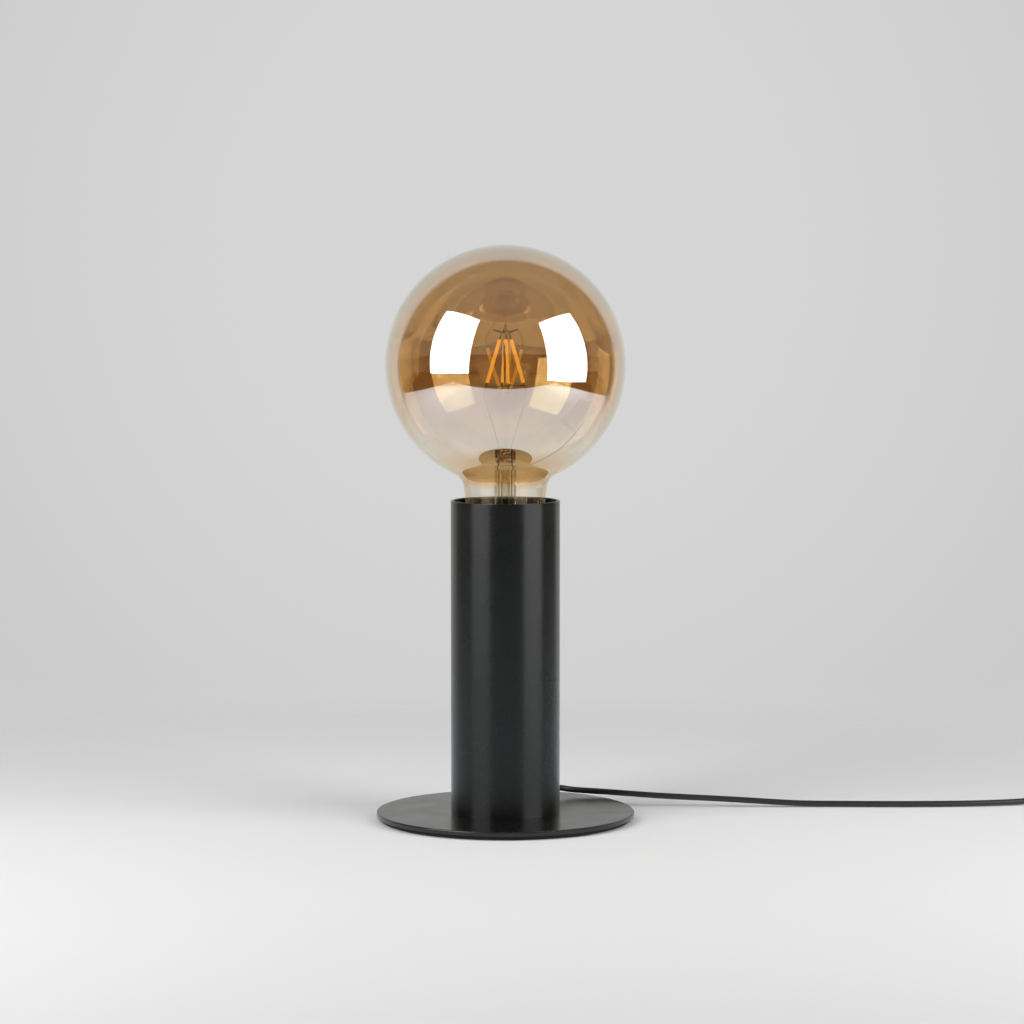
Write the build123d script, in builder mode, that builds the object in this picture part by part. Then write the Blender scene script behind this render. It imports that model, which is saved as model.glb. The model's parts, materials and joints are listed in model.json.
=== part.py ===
"""Bedside lamp: a black steel tube on a round plate, with a large amber globe bulb in its mouth.

Millimetres, +Z up. The origin is on the table, at the centre of the foot pad's underside.
"""
import math
import os

from build123d import *

os.makedirs("parts", exist_ok=True)

# Base plate and the pad under it
base_diameter = 135.0
base_thickness = 2.4
base_edge_radius = 0.7
pad_diameter = 131.0
pad_thickness = 2.0
pad_edge = 0.4

# Tube
tube_diameter = 57.0
tube_wall = 1.5
tube_length = 163.0
tube_rim_radius = 0.5

# Fits: pieces pushed into one another, screws in their holes, pieces that turn
slip = 0.15
screw_slip = 0.08
turn_gap = 0.35
axle_gap = 0.05

# Foot disc inside the tube, and the countersunk screws that hold the plate to it
foot_thickness = 4.0
foot_opening = 18.0
base_screw_count = 3
base_screw_radius = 2.0
base_screw_land = 0.6
base_screw_circle = 36.0
base_screw_end_gap = 0.4
base_screw_hex = 1.25
base_screw_hex_depth = 1.1
pad_access_gap = 1.0

# Cord, where it leaves the tube, and its strain relief
cord_diameter = 3.2
outlet_angle = 33.0
outlet_height = 6.6
outlet_hole_radius = 2.8
relief_flange_radius = 3.9
relief_flange_depth = 3.6
relief_collar_depth = 1.6
relief_taper = 12.6
relief_root_radius = 3.1
relief_tip_radius = 2.2
notch_gap = 0.5

# Cord clamp on the foot disc
clamp_width = 18.0
clamp_depth = 5.0
clamp_lug_height = 1.8
clamp_wall = 1.6
clamp_place = 19.5
clamp_screw_radius = 1.5
clamp_screw_head_radius = 2.6
clamp_screw_head_height = 1.8
clamp_screw_spacing = 12.8
clamp_screw_bite = 3.2

# Sheathed cord and the two wires inside the tube
sheath_bend = 15.0
sheath_top = 45.0
wire_radius = 0.65
wire_offset = 0.8

# Lampholder: depth of the centre contact below the rim, and its stack of pieces downwards
contact_depth = 45.2
contact_rise = 2.6
contact_strip = 0.5
contact_width = 6.0
contact_reach = 9.0
contact_pad = 3.2
core_thickness = 7.0
spigot_height = 8.0
spigot_wall = 2.9
flange_height = 2.0
dome_height = 10.0
dome_wall = 2.0
dome_neck_height = 5.0
dome_neck_radius = 8.5
holder_radius = 19.0
holder_seat = 1.8
holder_lip_gap = 1.0
shell_wall = 0.6
shell_lip = 0.6
grub_radius = 1.25
grub_length = 2.8

# Terminals under the lampholder's core
terminal_place = 8.5
terminal_side = 6.0
terminal_height = 7.0
terminal_entry = 3.0
terminal_screw_radius = 1.2
terminal_screw_head_radius = 2.0
terminal_screw_head_height = 1.4
terminal_screw_length = 1.6

# Bracket, nipple, nuts and washer that carry the lampholder
bracket_thickness = 2.0
bracket_skirt = 9.0
bracket_skirt_wall = 1.5
bracket_vent_radius = 4.0
bracket_vent_place = 16.0
bracket_vent_count = 3
nipple_radius = 5.0
nipple_bore = 3.4
nipple_end = 2.4
nipple_inside = 6.0
nut_flats = 14.0
nut_height = 4.0
washer_radius = 8.2
washer_thickness = 1.2

# Bulb: glass envelope
globe_diameter = 125.0
bulb_length = 178.0
glass_wall = 1.0
neck_diameter = 43.6
neck_fillet = 8.0
neck_taper = 7.0
shoulder_angle = 60.0
mouth_depth = 6.0

# Bulb: screw cap, insulator and tip
cap_length = 27.0
cap_radius = 13.1
cap_wall = 0.6
cap_flare_radius = 13.9
cap_flare_height = 0.9
cap_floor_height = 7.3
cap_floor_radius = 10.6
cap_floor_bevel = 2.4
cap_hole_radius = 9.0
insulator_height = 3.4
insulator_plug = 2.2
insulator_rim_radius = 9.6
insulator_base_radius = 5.2
tip_radius = 4.6
tip_flat_radius = 2.2
tip_edge = 1.4

# Bulb: driver board
board_radius = 10.8
board_thickness = 1.2
capacitor_radius = 3.0
capacitor_height = 7.0
choke_radius = 2.0
choke_height = 5.0
chip_length = 4.6
chip_width = 3.4
chip_height = 1.6

# Bulb: stem
stem_length = 44.6
stem_radius = 5.6
stem_wall = 0.8
stem_shoulder = 36.4
stem_crown = 2.4
flare_arc = 14.0
flare_top = 7.5
exhaust_radius = 2.3
exhaust_wall = 0.6
exhaust_end = 5.0
press_width = 10.8
press_depth = 4.6
press_height = 5.3
press_corner = 1.4
waist_width = 7.6
waist_depth = 4.0
rod_radius = 1.2
rod_height = 61.1
button_radius = 1.7

# Bulb: filaments and wires
filament_count = 4
filament_turn = 10.0
filament_width = 1.3
filament_depth = 1.9
filament_foot_radius = 9.6
filament_foot_height = 34.8
filament_head_radius = 3.0
filament_head_height = 57.2
pin_radius = 0.3
pin_length = 3.4
lead_radius = 0.25
lead_place = 3.3
lead_bend = 2.0
lead_rise = 2.0
lead_end_run = 3.0
arm_reach = 6.8
arm_rise = 16.0
stub_reach = 4.6
arm_radius = 0.32
spike_length = 2.2

# Cord outside: rise from the lamp to the table, then along it
lead_out_run = 9.0
lead_out_turn = 28.0
crossing_clearance = 3.2

# In-line switch
switch_length = 56.0
switch_width = 23.0
switch_height = 13.0
switch_corner = 8.5
switch_wall = 1.6
switch_split = 5.0
switch_edge = 2.2
switch_place_x = 306.0
switch_place_y = 47.0
rocker_radius = 7.4
rocker_width = 9.0
rocker_crown = 3.3
rocker_horn = 4.8
rocker_drop = 2.2
rocker_tilt = 7.0
pivot_depth = 2.8
axle_radius = 1.1
axle_reach = 1.3
lug_thickness = 1.6
lug_length = 6.0
lug_drop = 2.2
switch_screw_place = 19.0
switch_screw_radius = 1.1
switch_screw_head_radius = 2.0
switch_screw_head_height = 1.0
switch_boss_radius = 2.8
switch_screw_end_gap = 1.0
contact_bar_length = 16.0
contact_bar_width = 3.6
contact_bar_height = 1.0
contact_bar_gap = 6.0

# Coil of the cord's spare length, and its tie
link_length = 32.0
coil_inner_radius = 13.2
coil_turns = 2.625
coil_layers = 4
coil_gap = 1.0
tie_thickness = 0.7
tie_width = 6.0
tie_gap = 0.5

# Cord from the coil to the plug
tail_run = 13.0
tail_turn = 30.0

# Plug with two round pins
plug_width = 34.0
plug_thickness = 13.7
plug_body = 27.0
plug_nose = 14.0
plug_nose_radius = 4.6
plug_nose_tip = 2.6
plug_shoulder = 10.0
plug_edge = 2.0
pin_spacing = 18.6
plug_pin_radius = 2.0
plug_pin_length = 19.0
plug_pin_sleeve = 10.0
plug_pin_shank = 1.4
plug_pin_root = 8.0
plug_pin_edge = 0.8

# Levels that follow from the sizes above
base_top = pad_thickness + base_thickness
foot_top = base_top + foot_thickness
rim_level = base_top + tube_length
tube_outer = tube_diameter / 2
tube_inner = tube_outer - tube_wall
cord_radius = cord_diameter / 2
outlet_level = base_top + outlet_height
outlet_x = math.sin(math.radians(outlet_angle))
outlet_y = math.cos(math.radians(outlet_angle))
contact_level = rim_level - contact_depth
core_top = contact_level - contact_rise
core_bottom = core_top - core_thickness
spigot_bottom = core_bottom - spigot_height
flange_bottom = spigot_bottom - flange_height
dome_bottom = flange_bottom - dome_height
neck_bottom = dome_bottom - dome_neck_height
bracket_top = neck_bottom - nut_height
bracket_bottom = bracket_top - bracket_thickness
washer_bottom = bracket_bottom - washer_thickness
nut_bottom = washer_bottom - nut_height
nipple_bottom = nut_bottom - nipple_end
nipple_top = neck_bottom + dome_neck_height + nipple_inside - dome_wall
cap_top = contact_level + cap_length
cap_floor = contact_level + cap_floor_height
tip_top = cap_floor - insulator_height
board_bottom = cap_floor + insulator_plug
board_top = board_bottom + board_thickness
globe_radius = globe_diameter / 2
globe_level = contact_level + bulb_length - globe_radius
neck_radius = neck_diameter / 2
mouth_radius = cap_radius - cap_wall - slip
press_top = cap_top + stem_length
press_bottom = press_top - press_height
stem_top = cap_top + stem_shoulder
button_level = press_top + rod_height


def outlet_plane(distance, level):
    """Plane square to the cord's way out of the tube, at a distance from the tube's axis."""
    return Plane(
        origin=(outlet_x * distance, outlet_y * distance, level),
        x_dir=(-outlet_y, outlet_x, 0),
        z_dir=(outlet_x, outlet_y, 0),
    )


def around_base_screws():
    """Places of the base screws: evenly round, none under the cord clamp."""
    first = 90 - outlet_angle + 180 / base_screw_count
    return PolarLocations(base_screw_circle / 2, base_screw_count, start_angle=first)


def bend_radii(points):
    """Radius of the arc at each inner point: as large as its two runs leave room for."""
    places = [Vector(*point) for point in points]
    radii = []
    for before, corner, after in zip(places, places[1:], places[2:]):
        run_in = corner - before
        run_out = after - corner
        half_turn = math.radians(run_in.get_angle(run_out)) / 2
        radii.append(0.45 * min(run_in.length, run_out.length) / math.tan(half_turn))
    return radii


def round_lead(points, radii, radius):
    """Round lead along straight runs that are joined by tangent arcs."""
    with BuildPart() as lead:
        with BuildLine() as path:
            FilletPolyline(*points, radius=radii)
        way = path.wire()
        with BuildSketch(Plane(origin=way @ 0, z_dir=way % 0)):
            Circle(radius)
        sweep()
    volume_share = lead.part.volume / (math.pi * radius * radius * way.length)
    print(f"lead: length {way.length:.1f}, least bend {min(radii):.1f}, volume share {volume_share:.3f}")
    return lead, way.length


# Foot pad: a soft disc, with holes to reach the base screws
base_screw_head_height = base_thickness - base_screw_land
base_screw_head_radius = base_screw_radius + base_screw_head_height
with BuildPart() as foot_pad:
    with BuildSketch():
        Circle(pad_diameter / 2)
        with around_base_screws():
            Circle(base_screw_head_radius + pad_access_gap, mode=Mode.SUBTRACT)
    extrude(amount=pad_thickness)
    chamfer(foot_pad.edges().filter_by(GeomType.CIRCLE).group_by(SortBy.RADIUS)[-1].sort_by(Axis.Z)[0], pad_edge)
foot_pad.part.label = "foot_pad"
export_step(foot_pad.part, "parts/foot_pad.step")

# Base plate: a steel disc with a rounded upper edge, countersunk from below
with BuildPart() as base_plate:
    with BuildSketch(Plane.XY.offset(pad_thickness)):
        Circle(base_diameter / 2)
    extrude(amount=base_thickness)
    fillet(base_plate.edges().sort_by(Axis.Z)[-1], base_edge_radius)
    with around_base_screws():
        with Locations((0, 0, pad_thickness)):
            Cylinder(
                base_screw_radius + screw_slip,
                base_thickness,
                align=(Align.CENTER, Align.CENTER, Align.MIN),
                mode=Mode.SUBTRACT,
            )
            Cone(
                base_screw_head_radius + screw_slip,
                base_screw_radius + screw_slip,
                base_screw_head_height,
                align=(Align.CENTER, Align.CENTER, Align.MIN),
                mode=Mode.SUBTRACT,
            )
base_plate.part.label = "base_plate"
export_step(base_plate.part, "parts/base_plate.step")

# Tube: open at the top, with the cord's hole low at the back
with BuildPart() as tube:
    with BuildSketch(Plane.XY.offset(base_top)):
        Circle(tube_outer)
        Circle(tube_inner, mode=Mode.SUBTRACT)
    extrude(amount=tube_length)
    fillet(tube.edges().group_by(Axis.Z)[-1], tube_rim_radius)
    with BuildSketch(outlet_plane(0, outlet_level)):
        Circle(outlet_hole_radius)
    extrude(amount=tube_diameter, mode=Mode.SUBTRACT)
tube.part.label = "tube"
export_step(tube.part, "parts/tube.step")

# Foot disc: welded inside the tube's lower end, tapped for the plate's and the clamp's screws
notch_start = math.sqrt(tube_inner ** 2 - relief_flange_radius ** 2) - slip - relief_flange_depth - notch_gap
with BuildPart() as tube_foot:
    with BuildSketch(Plane.XY.offset(base_top)):
        Circle(tube_inner - slip)
        Circle(foot_opening / 2, mode=Mode.SUBTRACT)
        with around_base_screws():
            Circle(base_screw_radius + screw_slip, mode=Mode.SUBTRACT)
    extrude(amount=foot_thickness)
    with BuildSketch(outlet_plane(notch_start, base_top)):
        Rectangle(2 * (relief_flange_radius + notch_gap), 2 * foot_thickness + 1)
    extrude(amount=tube_inner, mode=Mode.SUBTRACT)
    with BuildSketch(Plane(origin=(0, 0, foot_top), x_dir=(outlet_y, -outlet_x, 0))):
        with Locations((-clamp_screw_spacing / 2, clamp_place), (clamp_screw_spacing / 2, clamp_place)):
            Circle(clamp_screw_radius + screw_slip)
    extrude(amount=-clamp_screw_bite - screw_slip, mode=Mode.SUBTRACT)
tube_foot.part.label = "tube_foot"
export_step(tube_foot.part, "parts/tube_foot.step")

# Base screws: countersunk, with a hexagon recess
with BuildPart() as base_screws:
    with around_base_screws():
        with Locations((0, 0, pad_thickness)):
            Cone(
                base_screw_head_radius,
                base_screw_radius,
                base_screw_head_height,
                align=(Align.CENTER, Align.CENTER, Align.MIN),
            )
            Cylinder(
                base_screw_radius,
                base_thickness + foot_thickness - base_screw_end_gap,
                align=(Align.CENTER, Align.CENTER, Align.MIN),
            )
    with BuildSketch(Plane.XY.offset(pad_thickness)):
        with around_base_screws():
            RegularPolygon(base_screw_hex, 6)
    extrude(amount=base_screw_hex_depth, mode=Mode.SUBTRACT)
base_screws.part.label = "base_screws"
export_step(base_screws.part, "parts/base_screws.step")

# Strain relief: flange inside the tube, neck through its wall, collar and taper outside
flange_face = math.sqrt(tube_inner ** 2 - relief_flange_radius ** 2) - slip
relief_start = flange_face - relief_flange_depth
collar_start = tube_outer + slip
taper_start = collar_start + relief_collar_depth
relief_end = taper_start + relief_taper
bore = cord_radius + screw_slip
relief_outline = [
    (bore, relief_start),
    (relief_flange_radius, relief_start),
    (relief_flange_radius, flange_face),
    (outlet_hole_radius - slip, flange_face),
    (outlet_hole_radius - slip, collar_start),
    (relief_flange_radius, collar_start),
    (relief_flange_radius, taper_start),
    (relief_root_radius, taper_start),
    (relief_tip_radius, relief_end),
    (bore, relief_end),
]
relief_section = Plane(
    origin=(0, 0, outlet_level), x_dir=(outlet_y, -outlet_x, 0), z_dir=(0, 0, 1)
)
with BuildPart() as strain_relief:
    with BuildSketch(relief_section):
        with BuildLine():
            Polyline(*relief_outline, close=True)
        make_face()
    revolve(axis=Axis((0, 0, outlet_level), (outlet_x, outlet_y, 0)))
strain_relief.part.label = "strain_relief"
export_step(strain_relief.part, "parts/strain_relief.step")

# Cord clamp: a saddle over the cord, with two lugs on the foot disc
with BuildPart() as cord_clamp:
    with BuildSketch(outlet_plane(clamp_place - clamp_depth / 2, outlet_level)):
        Circle(cord_radius + clamp_wall)
        with Locations((0, (foot_top - outlet_level) / 2)):
            Rectangle(2 * (cord_radius + clamp_wall), outlet_level - foot_top)
        with Locations((0, foot_top - outlet_level + clamp_lug_height / 2)):
            Rectangle(clamp_width, clamp_lug_height)
        with Locations((0, foot_top - outlet_level)):
            Rectangle(clamp_width, 4 * cord_diameter, align=(Align.CENTER, Align.MAX), mode=Mode.SUBTRACT)
        Circle(bore, mode=Mode.SUBTRACT)
    extrude(amount=clamp_depth)
    with BuildSketch(Plane(origin=(0, 0, foot_top), x_dir=(outlet_y, -outlet_x, 0))):
        with Locations((-clamp_screw_spacing / 2, clamp_place), (clamp_screw_spacing / 2, clamp_place)):
            Circle(clamp_screw_radius + screw_slip)
    extrude(amount=clamp_lug_height, mode=Mode.SUBTRACT)
cord_clamp.part.label = "cord_clamp"
export_step(cord_clamp.part, "parts/cord_clamp.step")

# Clamp screws: through the lugs into the foot disc
lug_top = foot_top + clamp_lug_height
with BuildPart() as clamp_screws:
    with Locations(Plane(origin=(0, 0, lug_top), x_dir=(outlet_y, -outlet_x, 0))):
        with Locations((-clamp_screw_spacing / 2, clamp_place), (clamp_screw_spacing / 2, clamp_place)):
            Cylinder(
                clamp_screw_radius,
                clamp_lug_height + clamp_screw_bite,
                align=(Align.CENTER, Align.CENTER, Align.MAX),
            )
            Cylinder(
                clamp_screw_head_radius,
                clamp_screw_head_height,
                align=(Align.CENTER, Align.CENTER, Align.MIN),
            )
clamp_screws.part.label = "clamp_screws"
export_step(clamp_screws.part, "parts/clamp_screws.step")

# Sheathed cord inside: from the relief's tip to the tube's axis, then up
cord_inlet, inlet_length = round_lead(
    [
        (outlet_x * relief_end, outlet_y * relief_end, outlet_level),
        (0, 0, outlet_level),
        (0, 0, sheath_top),
    ],
    [sheath_bend],
    cord_radius,
)
cord_inlet.part.label = "cord_inlet"
export_step(cord_inlet.part, "parts/cord_inlet.step")

# Live and neutral wires: up through the nipple, then out to the terminals
terminal_bottom = core_bottom - terminal_height
wire_turn_low = nipple_top + 1.5
wire_turn_high = terminal_bottom - 4.5
wire_end = terminal_bottom + terminal_entry
for side, wire_name in ((1, "live_wire"), (-1, "neutral_wire")):
    wire_points = [
        (side * wire_offset, 0, sheath_top),
        (side * wire_offset, 0, wire_turn_low),
        (side * terminal_place, 0, wire_turn_high),
        (side * terminal_place, 0, wire_end),
    ]
    wire, wire_length = round_lead(wire_points, bend_radii(wire_points), wire_radius)
    wire.part.label = wire_name
    export_step(wire.part, f"parts/{wire_name}.step")

# Socket bracket: a pressed cup across the tube, with vents and a hole for the nipple
with BuildPart() as socket_bracket:
    with BuildSketch(Plane.XY.offset(bracket_bottom)):
        Circle(tube_inner - slip)
        Circle(nipple_radius + slip, mode=Mode.SUBTRACT)
        with PolarLocations(bracket_vent_place, bracket_vent_count, start_angle=90):
            Circle(bracket_vent_radius, mode=Mode.SUBTRACT)
    extrude(amount=bracket_thickness)
    with BuildSketch(Plane.XY.offset(bracket_bottom)):
        Circle(tube_inner - slip)
        Circle(tube_inner - slip - bracket_skirt_wall, mode=Mode.SUBTRACT)
    extrude(amount=-bracket_skirt)
socket_bracket.part.label = "socket_bracket"
export_step(socket_bracket.part, "parts/socket_bracket.step")

# Threaded nipple: a hollow stud through the bracket
with BuildPart() as threaded_nipple:
    with BuildSketch(Plane.XY.offset(nipple_bottom)):
        Circle(nipple_radius)
        Circle(nipple_bore, mode=Mode.SUBTRACT)
    extrude(amount=nipple_top - nipple_bottom)
threaded_nipple.part.label = "threaded_nipple"
export_step(threaded_nipple.part, "parts/threaded_nipple.step")

# Nuts above and below the bracket
with BuildPart() as nipple_nuts:
    for level in (bracket_top, nut_bottom):
        with BuildSketch(Plane.XY.offset(level)):
            RegularPolygon(nut_flats / 2, 6, major_radius=False)
            Circle(nipple_radius + screw_slip, mode=Mode.SUBTRACT)
        extrude(amount=nut_height)
nipple_nuts.part.label = "nipple_nuts"
export_step(nipple_nuts.part, "parts/nipple_nuts.step")

# Washer under the bracket
with BuildPart() as nipple_washer:
    with BuildSketch(Plane.XY.offset(washer_bottom)):
        Circle(washer_radius)
        Circle(nipple_radius + slip, mode=Mode.SUBTRACT)
    extrude(amount=washer_thickness)
nipple_washer.part.label = "nipple_washer"
export_step(nipple_washer.part, "parts/nipple_washer.step")

# Screw shell: a brass sleeve that takes the bulb's cap
shell_bore = cap_radius + turn_gap
shell_radius = shell_bore + shell_wall
holder_top = cap_top - cap_flare_height - (cap_flare_radius - cap_radius) - holder_lip_gap
with BuildPart() as screw_shell:
    with BuildSketch(Plane.XY.offset(core_top)):
        Circle(shell_radius)
        Circle(shell_bore, mode=Mode.SUBTRACT)
    extrude(amount=holder_top - shell_lip - core_top)
screw_shell.part.label = "screw_shell"
export_step(screw_shell.part, "parts/screw_shell.step")

# Lampholder body: a sleeve round the shell, stepped inside for the core and the dome's spigot
body_bore = shell_radius + slip
seat_bore = body_bore + holder_seat
with BuildPart() as holder_body:
    with BuildSketch(Plane.XY.offset(spigot_bottom)):
        Circle(holder_radius)
        Circle(body_bore, mode=Mode.SUBTRACT)
    extrude(amount=holder_top - spigot_bottom)
    with BuildSketch(Plane.XY.offset(spigot_bottom)):
        Circle(seat_bore)
    extrude(amount=core_top - spigot_bottom, mode=Mode.SUBTRACT)
    fillet(holder_body.edges().group_by(Axis.Z)[-1], 1.0)
holder_body.part.label = "holder_body"
export_step(holder_body.part, "parts/holder_body.step")

# Lampholder core: the insulator that carries the contacts, clamped between body and dome
core_radius = seat_bore - slip
with BuildPart() as holder_core:
    with BuildSketch(Plane.XY.offset(core_bottom)):
        Circle(core_radius)
    extrude(amount=core_thickness)
holder_core.part.label = "holder_core"
export_step(holder_core.part, "parts/holder_core.step")

# Lampholder dome: spigot into the body, shoulder, and a neck on the nipple
spigot_bore = core_radius - spigot_wall
dome_outline = [
    (core_radius, core_bottom),
    (core_radius, spigot_bottom),
    (holder_radius, spigot_bottom),
    (holder_radius, flange_bottom),
    (dome_neck_radius, dome_bottom),
    (dome_neck_radius, neck_bottom),
    (nipple_radius + screw_slip, neck_bottom),
    (nipple_radius + screw_slip, dome_bottom + dome_wall),
    (dome_neck_radius - dome_wall, dome_bottom + dome_wall),
    (spigot_bore, flange_bottom + dome_wall / 2),
    (spigot_bore, core_bottom),
]
with BuildPart() as holder_dome:
    with BuildSketch(Plane.XZ):
        with BuildLine():
            Polyline(*dome_outline, close=True)
        make_face()
    revolve(axis=Axis.Z)
    with BuildSketch(Plane(origin=(0, 0, neck_bottom + dome_neck_height / 2), z_dir=(0, -1, 0))):
        Circle(grub_radius + screw_slip)
    extrude(amount=dome_neck_radius + 1, mode=Mode.SUBTRACT)
holder_dome.part.label = "holder_dome"
export_step(holder_dome.part, "parts/holder_dome.step")

# Grub screw: locks the dome on the nipple
with BuildPart() as holder_grub:
    grub_start = nipple_radius + screw_slip
    with BuildSketch(Plane(origin=(0, -grub_start, neck_bottom + dome_neck_height / 2), z_dir=(0, -1, 0))):
        Circle(grub_radius)
    extrude(amount=grub_length)
holder_grub.part.label = "holder_grub"
export_step(holder_grub.part, "parts/holder_grub.step")

# Centre contact: a bent brass strip on the core, under the bulb's tip
with BuildPart() as centre_contact:
    with BuildSketch(Plane.XZ):
        with BuildLine():
            Polyline(
                (-contact_reach, core_top),
                (-contact_pad - contact_strip, core_top),
                (-contact_pad + contact_strip, contact_level - contact_strip),
                (contact_pad, contact_level - contact_strip),
                (contact_pad, contact_level),
                (-contact_pad, contact_level),
                (-contact_pad - 2 * contact_strip, core_top + contact_strip),
                (-contact_reach, core_top + contact_strip),
                close=True,
            )
        make_face()
    extrude(amount=contact_width / 2, both=True)
centre_contact.part.label = "centre_contact"
export_step(centre_contact.part, "parts/centre_contact.step")

# Terminal blocks under the core, each with a wire hole and a screw hole
terminal_places = ((-terminal_place, 0), (terminal_place, 0))
screw_level = core_bottom - terminal_screw_head_radius - slip
terminal_face = Plane(origin=(0, -terminal_side / 2, screw_level), x_dir=(1, 0, 0), z_dir=(0, -1, 0))
with BuildPart() as terminal_blocks:
    with BuildSketch(Plane.XY.offset(terminal_bottom)):
        with Locations(*terminal_places):
            Rectangle(terminal_side, terminal_side)
    extrude(amount=terminal_height)
    with BuildSketch(Plane.XY.offset(terminal_bottom)):
        with Locations(*terminal_places):
            Circle(wire_radius + screw_slip)
    extrude(amount=terminal_entry + screw_slip, mode=Mode.SUBTRACT)
    with BuildSketch(terminal_face):
        with Locations(*terminal_places):
            Circle(terminal_screw_radius + screw_slip)
    extrude(amount=-terminal_screw_length - screw_slip, mode=Mode.SUBTRACT)
terminal_blocks.part.label = "terminal_blocks"
export_step(terminal_blocks.part, "parts/terminal_blocks.step")

# Terminal screws: one in the side of each block
with BuildPart() as terminal_screws:
    with BuildSketch(terminal_face):
        with Locations(*terminal_places):
            Circle(terminal_screw_radius)
    extrude(amount=-terminal_screw_length)
    with BuildSketch(terminal_face):
        with Locations(*terminal_places):
            Circle(terminal_screw_head_radius)
    extrude(amount=terminal_screw_head_height)
terminal_screws.part.label = "terminal_screws"
export_step(terminal_screws.part, "parts/terminal_screws.step")

# Bulb glass: globe, fillet, tapered neck, rounded shoulder and mouth, as arcs with common centres.
# The neck has its diameter where the fillet ends. The shoulder's two arcs have the one radius that joins
# the neck's slope to the upright mouth.
taper_turn = math.radians(neck_taper)
shoulder_turn = math.radians(shoulder_angle)
fillet_place = neck_radius + neck_fillet * math.cos(taper_turn)
fillet_drop = math.sqrt((globe_radius + neck_fillet) ** 2 - fillet_place ** 2)
fillet_level = globe_level - fillet_drop
globe_end = -math.degrees(math.atan2(fillet_drop, fillet_place))
neck_height = fillet_level + neck_fillet * math.sin(taper_turn) - cap_top
narrowing = neck_radius - mouth_radius - neck_height * math.tan(taper_turn)
arc_share = 1 - 2 * math.cos(shoulder_turn) + 1 / math.cos(taper_turn)
shoulder_arc = narrowing / (arc_share - 2 * math.sin(shoulder_turn) * math.tan(taper_turn))
shoulder_level = cap_top + 2 * shoulder_arc * math.sin(shoulder_turn)
ankle_place = mouth_radius + shoulder_arc
knee_place = ankle_place - 2 * shoulder_arc * math.cos(shoulder_turn)


def envelope_outline(inset):
    """Half outline of the glass from its top to its mouth, moved inwards."""
    CenterArc((0, globe_level), globe_radius - inset, globe_end, 90 - globe_end)
    bend = CenterArc((fillet_place, fillet_level), neck_fillet + inset, 180 + globe_end, -globe_end - neck_taper)
    knee = CenterArc((knee_place, shoulder_level), shoulder_arc - inset, -neck_taper, neck_taper - shoulder_angle)
    Line(bend @ 1, knee @ 0)
    CenterArc((ankle_place, cap_top), shoulder_arc + inset, 180 - shoulder_angle, shoulder_angle)
    Line((mouth_radius - inset, cap_top), (mouth_radius - inset, cap_top - mouth_depth))


with BuildPart() as bulb_glass:
    with BuildSketch(Plane.XZ):
        with BuildLine():
            envelope_outline(0)
            envelope_outline(glass_wall)
            Line((0, globe_level + globe_radius), (0, globe_level + globe_radius - glass_wall))
            Line((mouth_radius, cap_top - mouth_depth), (mouth_radius - glass_wall, cap_top - mouth_depth))
        make_face()
    revolve(axis=Axis.Z)
bulb_glass.part.label = "bulb_glass"
export_step(bulb_glass.part, "parts/bulb_glass.step")

# Bulb cap: a thin threaded cup with a flared rim and a hole in its floor
cap_bore = cap_radius - cap_wall
cap_outline = [
    (cap_bore, cap_top),
    (cap_flare_radius, cap_top),
    (cap_flare_radius, cap_top - cap_flare_height),
    (cap_radius, cap_top - cap_flare_height - (cap_flare_radius - cap_radius)),
    (cap_radius, cap_floor + cap_floor_bevel),
    (cap_floor_radius, cap_floor),
    (cap_hole_radius, cap_floor),
    (cap_hole_radius, cap_floor + cap_wall),
    (cap_floor_radius - cap_wall / 2, cap_floor + cap_wall),
    (cap_bore, cap_floor + cap_floor_bevel + cap_wall / 2),
]
with BuildPart() as bulb_cap:
    with BuildSketch(Plane.XZ):
        with BuildLine():
            Polyline(*cap_outline, close=True)
        make_face()
    revolve(axis=Axis.Z)
bulb_cap.part.label = "bulb_cap"
export_step(bulb_cap.part, "parts/bulb_cap.step")

# Cap insulator: a cone under the cap's floor, plugged through its hole
insulator_outline = [
    (0, tip_top),
    (insulator_base_radius, tip_top),
    (insulator_rim_radius, cap_floor),
    (cap_hole_radius - slip, cap_floor),
    (cap_hole_radius - slip, board_bottom),
    (0, board_bottom),
]
with BuildPart() as cap_insulator:
    with BuildSketch(Plane.XZ):
        with BuildLine():
            Polyline(*insulator_outline, close=True)
        make_face()
    revolve(axis=Axis.Z)
cap_insulator.part.label = "cap_insulator"
export_step(cap_insulator.part, "parts/cap_insulator.step")

# Tip contact: a solder button under the insulator
tip_outline = [
    (0, contact_level),
    (tip_flat_radius, contact_level),
    (tip_radius, tip_top - tip_edge),
    (tip_radius, tip_top),
    (0, tip_top),
]
with BuildPart() as bulb_tip:
    with BuildSketch(Plane.XZ):
        with BuildLine():
            Polyline(*tip_outline, close=True)
        make_face()
    revolve(axis=Axis.Z)
bulb_tip.part.label = "bulb_tip"
export_step(bulb_tip.part, "parts/bulb_tip.step")

# Driver board: a round board on the insulator, with its capacitor, choke and chip
part_place = board_radius / 2 - 0.6
with BuildPart() as driver_board:
    with BuildSketch(Plane.XY.offset(board_bottom)):
        Circle(board_radius)
    extrude(amount=board_thickness)
    with BuildSketch(Plane.XY.offset(board_top)):
        with Locations((-part_place, part_place)):
            Circle(capacitor_radius)
    extrude(amount=capacitor_height)
    with BuildSketch(Plane.XY.offset(board_top)):
        with Locations((part_place, part_place)):
            Circle(choke_radius)
    extrude(amount=choke_height)
    with BuildSketch(Plane.XY.offset(board_top)):
        with Locations((part_place, -part_place)):
            Rectangle(chip_length, chip_width)
    extrude(amount=chip_height)
driver_board.part.label = "driver_board"
export_step(driver_board.part, "parts/driver_board.step")

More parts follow.
